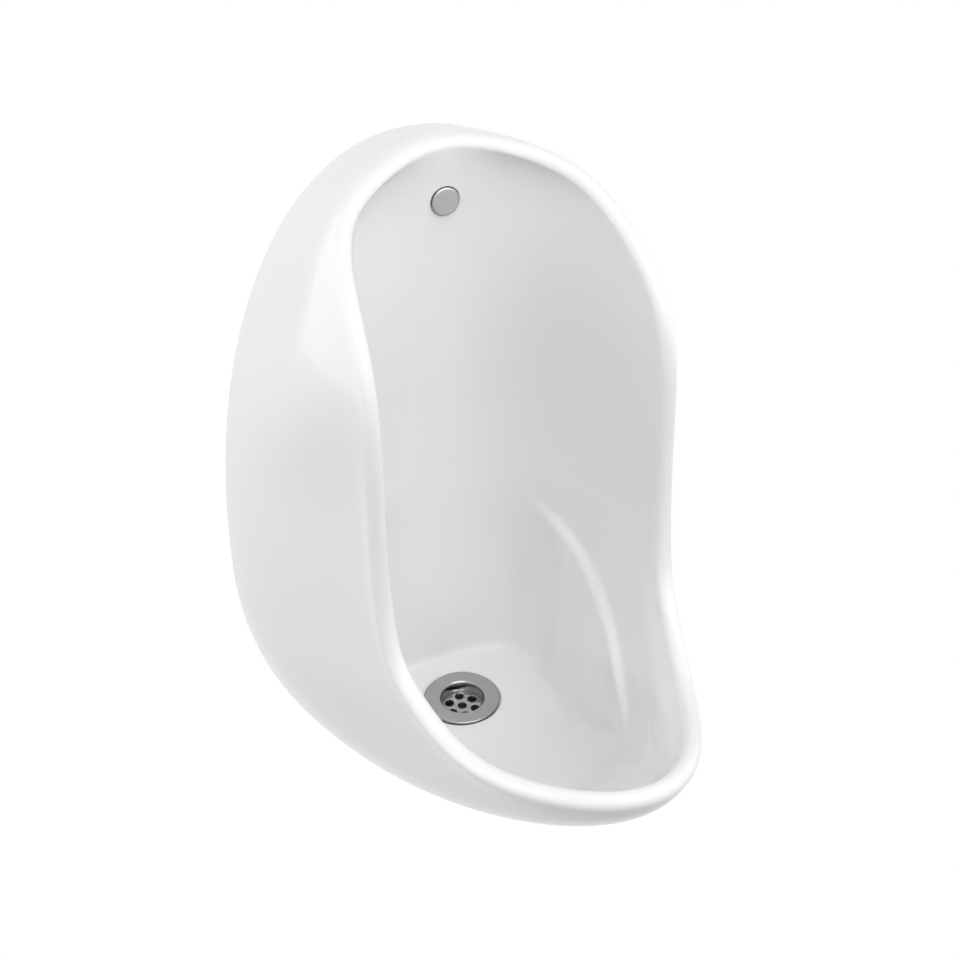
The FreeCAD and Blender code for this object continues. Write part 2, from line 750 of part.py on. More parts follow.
def flush_inlet():
    """The pipe from the wall, the seal on its collar and the union nut that draws them together."""
    collar_y = STEM_END_Y + " + union_seal_thickness + inlet_collar_thickness"
    seal = ring("inlet_union_seal", ("0", STEM_END_Y + " + union_seal_thickness", SPREADER_Z), "out",
                "inlet_collar_radius", "spreader_bore_radius", "union_seal_thickness")
    collar = rod("inlet_collar", ("0", collar_y, SPREADER_Z), "out", "inlet_collar_radius",
                 "inlet_collar_thickness")
    socket = rod("inlet_socket", ("0", "-inlet_socket_gap", SPREADER_Z), "out", "inlet_socket_radius",
                 "-inlet_socket_gap - (%s)" % collar_y)
    pipe = rod("inlet_pipe", ("0", "inlet_pipe_stand_out", SPREADER_Z), "out", "inlet_pipe_radius",
               "inlet_pipe_stand_out - (%s)" % collar_y)
    bore = rod("inlet_bore", ("0", "inlet_pipe_stand_out + 1", SPREADER_Z), "out", "inlet_pipe_bore",
               "inlet_pipe_stand_out + stem_end_depth + 1")
    tail = less("flush_inlet_tail", joined("inlet_tail_body", collar, socket, pipe), bore)
    nut_y = collar_y + " + union_shoulder"
    bar = hexagon("union_bar", ("0", nut_y, SPREADER_Z), "out", "union_nut_radius", "union_nut_length")
    eye = rod("union_eye", ("0", nut_y, SPREADER_Z), "out", "inlet_socket_radius + thread_gap",
              "union_nut_length")
    cup = rod("union_cup", ("0", collar_y, SPREADER_Z), "out", "spreader_thread_radius + thread_gap",
              "union_nut_length")
    union = less("inlet_union_nut", bar, eye, cup)
    return [seal, tail, union]


# ---------------------------------------------------------------- the hanging set
def hanger(name, side):
    """A bent steel hook: a plate on the wall, an arm under the china's bar and a lip before it."""
    left = "%d * hanger_spacing / 2 - hanger_width / 2" % side
    plate = block(name + "_plate", (left, "-hanger_steel", "-hanger_arm_drop"), "hanger_width",
                  "hanger_steel", "hanger_arm_drop + hanger_plate_top")
    arm = block(name + "_arm", (left, "-hanger_arm_reach", "-hanger_arm_drop"), "hanger_width",
                "hanger_arm_reach", "hanger_steel")
    lip = block(name + "_lip", (left, "-hanger_arm_reach", "-hanger_arm_drop"), "hanger_width",
                "hanger_steel", "hanger_lip_height")
    body = joined(name + "_body", plate, arm, lip)
    bent = rounded(name + "_bent", body, "hanger_steel",
                   lambda edge: edge.BoundBox.XLength > 30.0 and edge.BoundBox.ZMax < -34.9)
    holes = [rod("%s_hole_%d" % (name, row), ("%d * hanger_spacing / 2" % side, "0",
                                             "%d * screw_spacing / 2" % row), "out",
                 "hanger_hole_radius", "hanger_steel") for row in (-1, 1)]
    return less(name, bent, *holes)


def hanger_pads():
    """The rubber that keeps the china's bar off the steel."""
    pads = []
    for side in (-1, 1):
        pads.append(block("hanger_pad_%d" % (side + 1),
                          ("%d * hanger_spacing / 2 - hanger_width / 2" % side,
                           "-hanger_arm_reach + hanger_steel", "hanger_steel - hanger_arm_drop"),
                          "hanger_width", "hanger_arm_reach - 2 * hanger_steel", "pad_thickness"))
    return grouped("hanger_pads", *pads)


def screw_places():
    """The four screw axes, as formulas for X and Z."""
    return [("%d * hanger_spacing / 2" % side, "%d * screw_spacing / 2" % row)
            for side in (-1, 1) for row in (-1, 1)]


def hanger_screws():
    """Four pan-head screws with slots: a plain shank in the hanger, and a thread that starts at the wall."""
    screws = []
    for count, (x, z) in enumerate(screw_places()):
        under = "-hanger_steel - screw_washer_thickness"
        shank = rod("screw_shank_%d" % count, (x, "0", z), "out", "screw_shank_radius", "-(%s)" % under)
        thread = rod("screw_thread_%d" % count, (x, under + " + screw_length", z), "out", "screw_radius",
                     "screw_length")
        head = rod("screw_head_%d" % count, (x, under, z), "out", "screw_head_radius", "screw_head_height")
        slot = block("screw_slot_%d" % count,
                     ("%s - screw_slot_width / 2" % x, under + " - screw_head_height",
                      "%s - screw_head_radius" % z),
                     "screw_slot_width", "screw_slot_depth", "2 * screw_head_radius")
        whole = joined("screw_body_%d" % count, thread, shank, head)
        screws.append(less("screw_%d" % count, whole, slot))
    return grouped("hanger_screws", *screws)


def hanger_washers():
    """A washer under each screw's head."""
    return grouped("hanger_washers", *[
        ring("screw_washer_%d" % count, (x, "-hanger_steel", z), "out", "screw_washer_radius",
             "screw_shank_radius + thread_gap", "screw_washer_thickness")
        for count, (x, z) in enumerate(screw_places())])


# ---------------------------------------------------------------- build, check and write
def build():
    """Every sub-part, each an object whose name is its node's."""
    parts = [bowl(), waste_fitting(), waste_grating()]
    parts += waste_rings()
    parts += [spreader_head(), spreader_stem()]
    parts += spreader_rings()
    parts += flush_inlet()
    parts += [hanger("hanger_left", -1), hanger("hanger_right", 1)]
    parts += [hanger_pads(), hanger_screws(), hanger_washers()]
    return parts


def check(parts):
    """Stop on an object in error or on a sub-part with no sound solid."""
    for item in DOC.Objects:
        if "Invalid" in item.State or "Error" in item.State:
            raise RuntimeError("%s is in error: %s" % (item.Name, item.State))
    for part in parts:
        shape = part.Shape
        if shape.isNull() or not shape.isValid() or not shape.Solids:
            raise RuntimeError("%s has no sound solid" % part.Label)
        print("%-22s %2d solid(s) %10.0f mm3" % (part.Label, len(shape.Solids), shape.Volume))


def write(parts):
    """One STEP file for each sub-part."""
    os.makedirs("parts", exist_ok=True)
    for part in parts:
        part.Shape.exportStep("parts/%s.step" % part.Label)


PARTS = build()
DOC.recompute()
check(PARTS)
write(PARTS)
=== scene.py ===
"""Looks of a wall hung urinal in white glazed china, with its chrome waste and spreader.

The frame is the CAD model's: the origin is on the wall at the middle of the hanger screws, +X is to
the right of someone who faces the bowl, +Y goes into the wall and +Z is up. The scene is in metres.
The classes of the object's pieces hold millimetres, and count heights up from the rim of the waste
flange, except where a comment says otherwise.
"""

import json
import logging
import math
from dataclasses import dataclass
from enum import Enum
from typing import Any, Callable, Dict, List, Sequence, Tuple

import bmesh
import bpy
from mathutils import Matrix, Vector

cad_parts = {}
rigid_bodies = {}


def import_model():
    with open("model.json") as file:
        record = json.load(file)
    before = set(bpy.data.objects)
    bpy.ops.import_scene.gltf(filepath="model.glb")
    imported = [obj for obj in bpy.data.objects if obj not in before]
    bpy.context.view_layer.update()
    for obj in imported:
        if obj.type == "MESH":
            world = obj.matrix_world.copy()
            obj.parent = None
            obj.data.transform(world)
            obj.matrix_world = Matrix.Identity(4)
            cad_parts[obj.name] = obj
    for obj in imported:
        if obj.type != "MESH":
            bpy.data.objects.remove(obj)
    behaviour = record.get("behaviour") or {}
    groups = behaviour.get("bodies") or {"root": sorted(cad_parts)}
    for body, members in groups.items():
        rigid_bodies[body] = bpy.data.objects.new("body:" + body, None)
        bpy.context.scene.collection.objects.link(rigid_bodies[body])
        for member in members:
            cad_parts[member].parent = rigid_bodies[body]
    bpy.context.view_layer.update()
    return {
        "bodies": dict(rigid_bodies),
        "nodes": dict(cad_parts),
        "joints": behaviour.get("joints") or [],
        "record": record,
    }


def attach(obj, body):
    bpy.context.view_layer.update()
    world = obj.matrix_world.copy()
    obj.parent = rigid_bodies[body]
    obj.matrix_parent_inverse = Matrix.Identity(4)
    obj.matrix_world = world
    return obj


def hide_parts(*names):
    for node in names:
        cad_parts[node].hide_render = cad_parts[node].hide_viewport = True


LOG = logging.getLogger("urinal")
MM = 0.001
UP = Vector((0.0, 0.0, 1.0))
OUT = Vector((0.0, -1.0, 0.0))
WHITE = (1.0, 1.0, 1.0, 1.0)

Stations = Sequence[Tuple[float, float]]
Profile = List[Tuple[float, float]]


# ------------------------------------------------------------------------------------- small maths
def ease(low: float, high: float, share: float) -> float:
    """Go smoothly from low to high.

    Args:
        low: value at share 0.
        high: value at share 1.
        share: how far along, clipped to 0..1.

    Returns:
        The eased value.
    """
    share = min(1.0, max(0.0, share))
    share = share * share * (3.0 - 2.0 * share)
    return low + (high - low) * share


def from_top(turn: float) -> float:
    """The turn from the top of the bowl by the shorter way, 0 to 180 degrees on either side."""
    return min(turn % 360.0, 360.0 - turn % 360.0)


def along(turn: float, stations: Stations) -> float:
    """Ease between values given at turns round the bowl.

    Args:
        turn: degrees, 0 at the top and 180 at the lip, the same on both sides.
        stations: pairs of turn and value, in order.

    Returns:
        The value at the turn.
    """
    turn = from_top(turn)
    for (start, low), (end, high) in zip(stations, stations[1:]):
        if turn <= end:
            return ease(low, high, (turn - start) / (end - start))
    return stations[-1][1]


def quarter_round(steps: int, first: int = 0) -> List[Tuple[float, float]]:
    """Corners of a quarter circle of radius 1.

    Args:
        steps: how many parts the quarter has.
        first: the corner to start from.

    Returns:
        For each corner, 1 less the cosine and 1 less the sine of its angle.
    """
    angles = [math.radians(90.0 * step / steps) for step in range(first, steps + 1)]
    return [(1.0 - math.cos(angle), 1.0 - math.sin(angle)) for angle in angles]


# ------------------------------------------------------------------------------------- finishes
class Slot(Enum):
    """The record's material slots."""

    CHINA = "china"
    CHROME = "chrome"
    BRASS = "brass"
    RUBBER = "rubber"
    PLASTIC = "plastic"
    STEEL = "steel"


Materials = Dict[Slot, bpy.types.Material]


@dataclass(frozen=True)
class Finish:
    """A surface made by nodes on Object coordinates.

    The spread is how far the roughness strays, the grain how fine the noise is, the bump how strong
    its relief is, the stretch how the grain runs along the axes, and the tint how much darker the
    darkest patches are.
    """

    slot: Slot
    colour: Tuple[float, float, float]
    metallic: float
    roughness: float
    spread: float
    grain: float
    bump: float
    coat: float = 0.0
    specular: float = 0.5
    stretch: Tuple[float, float, float] = (1.0, 1.0, 1.0)
    tint: float = 0.03

    COAT_ROUGHNESS = 0.03
    BROAD_SHARE = 0.06
    DARK_BELOW = 0.3
    PALE_ABOVE = 0.7
    RELIEF_DEPTH = 0.0004

    def build(self, name: str = "") -> bpy.types.Material:
        """Make the material.

        Args:
            name: the material's name, or nothing for the slot's own.

        Returns:
            A material whose noise shifts its colour and roughness a little and lifts a fine bump.
        """
        material = bpy.data.materials.new(name or self.slot.value)
        material.use_nodes = True
        tree = material.node_tree
        tree.nodes.clear()
        output = tree.nodes.new("ShaderNodeOutputMaterial")
        shader = tree.nodes.new("ShaderNodeBsdfPrincipled")
        shader.inputs["Metallic"].default_value = self.metallic
        shader.inputs["Specular IOR Level"].default_value = self.specular
        shader.inputs["Coat Weight"].default_value = self.coat
        shader.inputs["Coat Roughness"].default_value = self.COAT_ROUGHNESS
        fine, broad = self._noises(tree)
        tree.links.new(self._colour(tree, broad), shader.inputs["Base Color"])
        tree.links.new(self._gloss(tree, fine), shader.inputs["Roughness"])
        tree.links.new(self._relief(tree, fine), shader.inputs["Normal"])
        tree.links.new(shader.outputs["BSDF"], output.inputs["Surface"])
        return material

    def _noises(self, tree: bpy.types.NodeTree) -> List[bpy.types.NodeSocket]:
        """Add a fine and a broad noise on Object coordinates.

        Args:
            tree: the material's nodes.

        Returns:
            The fine noise's value and the broad one's.
        """
        place = tree.nodes.new("ShaderNodeTexCoord")
        mapping = tree.nodes.new("ShaderNodeMapping")
        mapping.inputs["Scale"].default_value = self.stretch
        tree.links.new(place.outputs["Object"], mapping.inputs["Vector"])
        values = []
        for scale, detail in ((self.grain, 4.0), (self.grain * self.BROAD_SHARE, 2.0)):
            noise = tree.nodes.new("ShaderNodeTexNoise")
            noise.inputs["Scale"].default_value = scale
            noise.inputs["Detail"].default_value = detail
            tree.links.new(mapping.outputs["Vector"], noise.inputs["Vector"])
            values.append(noise.outputs["Fac"])
        return values

    def _colour(self, tree: bpy.types.NodeTree,
                broad: bpy.types.NodeSocket) -> bpy.types.NodeSocket:
        """Shift the colour between its darkest patches and itself.

        Args:
            tree: the material's nodes.
            broad: the broad noise's value.

        Returns:
            The colour's socket.
        """
        ramp = tree.nodes.new("ShaderNodeValToRGB")
        dark = [channel * (1.0 - self.tint) for channel in self.colour]
        ends = ((self.DARK_BELOW, dark), (self.PALE_ABOVE, self.colour))
        for element, (position, colour) in zip(ramp.color_ramp.elements, ends):
            element.position = position
            element.color = (*colour, 1.0)
        tree.links.new(broad, ramp.inputs["Fac"])
        return ramp.outputs["Color"]

    def _gloss(self, tree: bpy.types.NodeTree, fine: bpy.types.NodeSocket) -> bpy.types.NodeSocket:
        """Let the roughness stray by the finish's spread.

        Args:
            tree: the material's nodes.
            fine: the fine noise's value.

        Returns:
            The roughness's socket.
        """
        gloss = tree.nodes.new("ShaderNodeMapRange")
        gloss.inputs["To Min"].default_value = self.roughness - self.spread
        gloss.inputs["To Max"].default_value = self.roughness + self.spread
        tree.links.new(fine, gloss.inputs["Value"])
        return gloss.outputs["Result"]

    def _relief(self, tree: bpy.types.NodeTree, fine: bpy.types.NodeSocket) -> bpy.types.NodeSocket:
        """Lift a fine bump.

        Args:
            tree: the material's nodes.
            fine: the fine noise's value.

        Returns:
            The normal's socket.
        """
        relief = tree.nodes.new("ShaderNodeBump")
        relief.inputs["Strength"].default_value = self.bump
        relief.inputs["Distance"].default_value = self.RELIEF_DEPTH
        tree.links.new(fine, relief.inputs["Height"])
        return relief.outputs["Normal"]


FINISHES = (
    Finish(Slot.CHINA, (0.92, 0.925, 0.93), metallic=0.0, roughness=0.18, spread=0.02, grain=55.0,
           bump=0.015, coat=0.12, specular=0.35, tint=0.006),
    Finish(Slot.CHROME, (0.44, 0.435, 0.43), metallic=1.0, roughness=0.16, spread=0.03, grain=420.0,
           bump=0.02),
    Finish(Slot.BRASS, (0.60, 0.42, 0.16), metallic=1.0, roughness=0.30, spread=0.05, grain=300.0,
           bump=0.08, tint=0.12),
    Finish(Slot.RUBBER, (0.022, 0.022, 0.023), metallic=0.0, roughness=0.62, spread=0.06,
           grain=600.0, bump=0.25, tint=0.2),
    Finish(Slot.PLASTIC, (0.70, 0.70, 0.66), metallic=0.0, roughness=0.42, spread=0.05, grain=500.0,
           bump=0.08, tint=0.04),
    Finish(Slot.STEEL, (0.52, 0.53, 0.54), metallic=1.0, roughness=0.34, spread=0.06, grain=260.0,
           bump=0.10, stretch=(1.0, 1.0, 0.12), tint=0.1),
)
# Painted shade: a near-black matt finish for the waste's bore below the grating, so that the
# grating's holes and the throat read dark
BORE_SHADE = Finish(Slot.CHROME, (0.035, 0.033, 0.030), metallic=0.0, roughness=0.55, spread=0.08,
                  grain=300.0, bump=0.2, tint=0.3)


# ------------------------------------------------------------------------------------- mesh helpers
def stand(name: str, data: Any) -> bpy.types.Object:
    """Put an object in the scene.

    Args:
        name: the object's name.
        data: what it holds, such as a mesh, a lamp or a camera.

    Returns:
        The object.
    """
    thing = bpy.data.objects.new(name, data)
    bpy.context.scene.collection.objects.link(thing)
    return thing


def poured(bm: bmesh.types.BMesh, name: str) -> bpy.types.Mesh:
    """Turn a bmesh into a mesh and free it.

    Args:
        bm: the bmesh, which is used up.
        name: the mesh's name.

    Returns:
        The mesh.
    """
    mesh = bpy.data.meshes.new(name)
    bm.to_mesh(mesh)
    bm.free()
    return mesh


def smooth(mesh: bpy.types.Mesh, sharp: float) -> None:
    """Shade a mesh smooth, with the corners above the given degrees kept sharp."""
    mesh.shade_smooth()
    mesh.set_sharp_from_angle(angle=math.radians(sharp))


def finished(bm: bmesh.types.BMesh, name: str, sharp: float = 35.0) -> bpy.types.Mesh:
    """Close a bmesh's seams, point its faces outwards and turn it into a smooth-shaded mesh.

    Args:
        bm: the bmesh, which is used up.
        name: the mesh's name.
        sharp: degrees above which a corner stays sharp.

    Returns:
        The mesh.
    """
    bmesh.ops.remove_doubles(bm, verts=bm.verts, dist=1e-6)
    bmesh.ops.recalc_face_normals(bm, faces=bm.faces)
    mesh = poured(bm, name)
    smooth(mesh, sharp)
    return mesh


def new_piece(name: str, mesh: bpy.types.Mesh, slot: Slot, finishes: Materials,
              *nodes: str) -> bpy.types.Object:
    """Put a finished mesh in the scene as a piece that stands for CAD nodes.

    Args:
        name: the piece's name.
        mesh: its mesh, already in place.
        slot: the record's slot that its finish comes from.
        finishes: the built materials.
        nodes: the CAD nodes that it stands for.

    Returns:
        The object.
    """
    piece = stand(name, mesh)
    mesh.materials.clear()
    mesh.materials.append(finishes[slot])
    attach(piece, "root")
    if nodes:
        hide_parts(*nodes)
    LOG.info("%s: %d faces", name, len(mesh.polygons))
    return piece


def evaluated(mesh: bpy.types.Mesh, dress: Callable[[bpy.types.Object], None]) -> bpy.types.Mesh:
    """Apply modifiers to a mesh.

    Args:
        mesh: the mesh to start from, which is used up.
        dress: adds the modifiers to the object that it is given.

    Returns:
        The mesh that the modifiers give.
    """
    holder = stand("holder", mesh)
    dress(holder)
    graph = bpy.context.evaluated_depsgraph_get()
    result = bpy.data.meshes.new_from_object(holder.evaluated_get(graph))
    bpy.data.objects.remove(holder)
    bpy.data.meshes.remove(mesh)
    return result


def cut_away(mesh: bpy.types.Mesh, tools: Sequence[bmesh.types.BMesh]) -> bpy.types.Mesh:
    """Cut each tool's shape out of a mesh.

    Args:
        mesh: the mesh to cut, which is used up.
        tools: closed shapes, which are used up.

    Returns:
        The cut mesh.
    """
    for tool in tools:
        cutter = stand("cutter", poured(tool, "cutter"))

        def dress(holder: bpy.types.Object) -> None:
            """Give the holder a Boolean that takes the cutter away.

            Args:
                holder: the object to dress.
            """
            boolean = holder.modifiers.new("cut", "BOOLEAN")
            boolean.operation = "DIFFERENCE"
            boolean.solver = "EXACT"
            boolean.object = cutter

        mesh = evaluated(mesh, dress)
        shape = cutter.data
        bpy.data.objects.remove(cutter)
        bpy.data.meshes.remove(shape)
    return mesh


def laid(centre: Vector, axis: Vector) -> Matrix:
    """The move that takes a shape built on +Z at the origin to a centre and an axis."""
    return Matrix.Translation(centre) @ axis.to_track_quat("Z", "Y").to_matrix().to_4x4()


def drum(centre: Vector, axis: Vector, radius: float, length: float,
         segments: int = 64) -> bmesh.types.BMesh:
    """A closed cylinder.

    Args:
        centre: the middle of its first end.
        axis: the way that it runs.
        radius: its radius.
        length: its length.
        segments: faces round it.

    Returns:
        The cylinder.
    """
    bm = bmesh.new()
    bmesh.ops.create_cone(bm, cap_ends=True, segments=segments, radius1=radius, radius2=radius,
                          depth=length)
    bmesh.ops.transform(bm, verts=bm.verts, matrix=laid(centre + axis * (length / 2.0), axis))
    return bm


def crate(low: Vector, high: Vector) -> bmesh.types.BMesh:
    """A closed box between two corners.

    Args:
        low: the corner with the lowest coordinates.
        high: the corner with the highest.

    Returns:
        The box.
    """
    bm = bmesh.new()
    bmesh.ops.create_cube(bm, size=1.0)
    bmesh.ops.scale(bm, verts=bm.verts, vec=high - low)
    bmesh.ops.translate(bm, verts=bm.verts, vec=(low + high) / 2.0)
    return bm


def spun(profile: Profile, centre: Vector, axis: Vector, steps: int = 96,
         closed: bool = True) -> bmesh.types.BMesh:
    """Spin a profile round an axis.

    Args:
        profile: (radius, distance along the axis) corners in order.
        centre: where distance 0 lies.
        axis: the way that distance runs.
        steps: faces round the axis.
        closed: whether the profile's last corner joins its first.

    Returns:
        The spun shape.
    """
    bm = bmesh.new()
    verts = [bm.verts.new((radius, 0.0, run)) for radius, run in profile]
    pairs = list(zip(verts, verts[1:])) + ([(verts[-1], verts[0])] if closed else [])
    edges = [bm.edges.new(pair) for pair in pairs]
    bmesh.ops.spin(bm, geom=verts + edges, cent=(0, 0, 0), axis=(0, 0, 1), angle=math.tau,
                   steps=steps, use_merge=True)
    bmesh.ops.remove_doubles(bm, verts=bm.verts, dist=1e-7)
    bmesh.ops.transform(bm, verts=bm.verts, matrix=laid(centre, axis))
    return bm


# ------------------------------------------------------------------------------------- the ware
@dataclass
class Ware:
    """The free form of the china, worked out from the bowl's driving sizes."""

    fixing_height: float = 392.0
    wall_half_width: float = 169.0
    wall_wide_height: float = 150.0
    wall_top_height: float = 486.0
    wall_foot_height: float = -105.0
    wall_top_power: float = 2.2
    wall_foot_power: float = 2.0
    rim_half_width: float = 110.0
    rim_top_height: float = 488.0
    rim_low_height: float = 148.5
    rim_top_reach: float = 55.0
    rim_side_reach: float = 192.0
    lip_reach: float = 377.0
    lip_rise: float = 20.5
    bead_radius: float = 7.0
    bead_top_radius: float = 8.0
    bead_margin: float = 9.0
    trough_top_depth: float = 58.5
    trough_power: float = 2.2
    pocket_back_depth: float = 24.0
    back_low_height: float = 4.0
    back_rise: float = 446.0
    pocket_half_width: float = 82.0
    pocket_middle_depth: float = 110.0
    pocket_power: float = 3.4
    pocket_power_height: float = 60.0
    pocket_flare: float = 0.8
    lip_wall: float = 13.0
    lip_low_power: float = 1.55
    lip_high_power: float = 1.65
    floor_level: float = -1.0
    floor_corner: float = 22.0
    floor_start: float = 100.0
    floor_length: float = 242.0
    floor_end_start: float = 240.0
    floor_end_run: float = 110.0
    floor_end_rise: float = 12.0
    ledge_width: float = 8.0
    ledge_height: float = 182.0
    ledge_back: float = 74.0
    ledge_fall: float = 0.70
    ledge_lean: float = 0.82
    ledge_round: float = 3.2
    china_wall: float = 9.5
    foot_width: float = 20.0
    waste_setback: float = 80.0
    shoulder: float = 215.0
    turns: int = 120

    EYE = Vector((0.0, -175.0, 130.0))
    HEART = Vector((0.0, -150.0, 250.0))
    INSIDE_TURNS = range(92, 0, -2)
    RELAXATIONS = 60
    STEP = 8.0
    FAR = 900.0
    HALVINGS = 18
    LEVEL = 0.02
    CORNER_FADE = 4.0
    RIM_BLEND = 0.055
    # where the ledge grows and dies out: distance from the wall, and over how much
    LEDGE_GROWS = (60.0, 35.0)
    LEDGE_DIES = (190.0, 65.0)
    # turn, and degrees of the bead outward and inward from its crest
    OUTER_ROLL = ((0.0, 12.0), (30.0, 38.0), (62.0, 62.0), (80.0, 100.0), (100.0, 108.0),
                  (128.0, 118.0), (180.0, 122.0))
    INNER_ROLL = ((0.0, 62.0), (45.0, 75.0), (180.0, 80.0))
    # turn, then shares of the half width, of the reach, of the height and of the lip's rise
    RIM = ((0.0, 0.0, 0.0, 1.0, 0.0), (22.0, 0.555, 0.153, 0.968, 0.0),
           (45.0, 0.9, 0.482, 0.876, 0.0), (62.0, 0.982, 0.912, 0.711, 0.0),
           (77.0, 1.0, 1.0, 0.446, 0.0), (92.0, 1.0, 1.054, 0.178, 0.0),
           (108.0, 0.945, 1.19, 0.063, 0.0), (128.0, 0.79, 1.47, 0.0, 0.0),
           (152.0, 0.473, 1.816, 0.0, 0.46), (180.0, 0.0, 2.0, 0.0, 1.0))
    # turn, and the pull of the flank's two handles as shares of its chord, and the second's climb
    NECK = ((0.0, 0.35), (40.0, 0.20), (100.0, 0.12), (128.0, 0.13), (180.0, 0.11))
    SKIRT = ((0.0, 0.30), (90.0, 0.35), (128.0, 0.33), (180.0, 0.36))
    CLIMB = ((0.0, 0.0), (100.0, 0.0), (140.0, 0.20), (180.0, 0.28))
    # turn, and the share of the flank and of the cavity's wall at which the hollow starts
    HOLLOW_START = ((0.0, 0.26), (60.0, 0.30), (90.0, 0.38), (105.0, 0.47), (120.0, 0.60),
                    (135.0, 0.68), (150.0, 0.72), (165.0, 0.62), (180.0, 0.56))
    HOLLOW_TURN = ((0.0, 0.08), (60.0, 0.08), (90.0, 0.28), (120.0, 0.60), (150.0, 0.76),
                   (180.0, 0.54))

    def __post_init__(self) -> None:
        """Work out the rim's smooth middle line and the opening's edge by height."""
        self.knots = self._rim_knots()
        self.slopes = self._rim_slopes()
        self.inside = [self._rim_inside(turn) for turn in self.INSIDE_TURNS]

    def _rim_knots(self) -> List[Tuple[float, Vector]]:
        """Place the rim's stations.

        Returns:
            Turn and place of each, all the way round.
        """
        tall = self.rim_top_height - self.rim_low_height
        right = []
        for turn, across, reach, height, rise in self.RIM:
            near = min(reach, 1.0) * (self.rim_side_reach - self.rim_top_reach)
            far = max(reach - 1.0, 0.0) * (self.lip_reach - self.rim_side_reach)
            right.append((turn, Vector((
                across * self.rim_half_width, -self.rim_top_reach - near - far,
                self.rim_low_height + height * tall + rise * self.lip_rise))))
        left = [(360.0 - turn, Vector((-p.x, p.y, p.z))) for turn, p in right[-2:0:-1]]
        return right + left

    def _rim_slopes(self) -> List[Vector]:
        """Find the slopes of the closed cubic spline through the rim's stations, by relaxation.

        Returns:
            The slope at each station.
        """
        knots = self.knots
        count = len(knots)
        gaps = [(knots[(i + 1) % count][0] - knots[i][0]) % 360.0 for i in range(count)]
        rises = [(knots[(i + 1) % count][1] - knots[i][1]) / gaps[i] for i in range(count)]
        slopes = [Vector((0.0, 0.0, 0.0)) for _ in knots]
        for _ in range(self.RELAXATIONS):
            for i in range(count):
                before, after = gaps[i - 1], gaps[i]
                pull = (rises[i - 1] * after + rises[i] * before) * 3.0
                pull -= slopes[i - 1] * after + slopes[(i + 1) % count] * before
                slopes[i] = pull / (2.0 * (before + after))
        return slopes

    def rim(self, turn: float) -> Tuple[Vector, Vector]:
        """Follow the bead's middle line.

        Args:
            turn: degrees round the bowl.

        Returns:
            The line's place and the way that it runs.
        """
        turn %= 360.0
        index = max(i for i, (start, _) in enumerate(self.knots) if start <= turn)
        after = (index + 1) % len(self.knots)
        start, p = self.knots[index]
        gap = (self.knots[after][0] - start) % 360.0
        q = self.knots[after][1]
        m, n = self.slopes[index] * gap, self.slopes[after] * gap
        s = (turn - start) / gap
        place = (p * (2 * s ** 3 - 3 * s ** 2 + 1) + m * (s ** 3 - 2 * s ** 2 + s)
                 + q * (3 * s ** 2 - 2 * s ** 3) + n * (s ** 3 - s ** 2))
        run = (p * (6 * s ** 2 - 6 * s) + m * (3 * s ** 2 - 4 * s + 1) + q * (6 * s - 6 * s ** 2)
               + n * (3 * s ** 2 - 2 * s))
        return place, run.normalized()

    def bead(self, turn: float, angle: float) -> Tuple[Vector, Vector]:
        """A point of the rolled rim and the way that its skin heads outward.

        Args:
            turn: degrees round the bowl.
            angle: degrees from the crest, positive on the outer side.

        Returns:
            The point and the unit heading.
        """
        centre, run = self.rim(turn)
        half = min(max(from_top(turn), self.bead_margin), 180.0 - self.bead_margin)
        profile = self.rim(half)[1]
        crest = Vector((0.0, profile.z, -profile.y))
        crest = (crest - run * crest.dot(run)).normalized()
        outer = run.cross(crest).normalized()
        if outer.dot(centre - self.HEART) < 0.0:
            outer.negate()
        radius = along(turn, ((0.0, self.bead_top_radius), (62.0, self.bead_radius),
                              (180.0, self.bead_radius)))
        a = math.radians(angle)
        return (centre + crest * (radius * math.cos(a)) + outer * (radius * math.sin(a)),
                outer * math.cos(a) - crest * math.sin(a))

    def _rim_inside(self, turn: float) -> Tuple[float, float, float]:
        """Height, half width and Y of the bead's inner side."""
        point = self.bead(turn, -along(turn, self.INNER_ROLL))[0]
        return point.z, point.x, point.y

    def wall(self, turn: float, inset: float = 0.0) -> Vector:
        """A point of the outline on the wall.

        Args:
            turn: degrees round the bowl.
            inset: how far inside the outline the point lies.

        Returns:
            The point.
        """
        a = math.radians(turn)
        across, up = math.sin(a), math.cos(a)
        power = 2.0 / (self.wall_top_power if up >= 0.0 else self.wall_foot_power)
        tall = (self.wall_top_height - self.wall_wide_height if up >= 0.0
                else self.wall_wide_height - self.wall_foot_height)
        x = math.copysign(abs(across) ** power, across) * (self.wall_half_width - inset)
        z = math.copysign(abs(up) ** power, up) * (tall - inset)
        return Vector((x, 0.0, self.wall_wide_height + z))

    def flank(self, turn: float, share: float) -> Vector:
        """A point of the outside.

        Args:
            turn: degrees round the bowl.
            share: how far along it lies, 0 at the bead and 1 at the wall.

        Returns:
            The point.
        """
        start, heading = self.bead(turn, along(turn, self.OUTER_ROLL))
        end = self.wall(turn)
        chord = (end - start).length
        neck, skirt = chord * along(turn, self.NECK), chord * along(turn, self.SKIRT)
        away = Vector((0.0, -1.0, along(turn, self.CLIMB))).normalized()
        b = 1.0 - share
        return (start * b ** 3 + (start + heading * neck) * (3.0 * b * b * share)
                + (end + away * skirt) * (3.0 * b * share * share) + end * share ** 3)

    def _back(self, height: float) -> float:
        """Y of the cavity's back wall at a height."""
        top, bottom = -self.trough_top_depth, -self.pocket_back_depth
        return bottom + (top - bottom) * (height - self.back_low_height) / self.back_rise

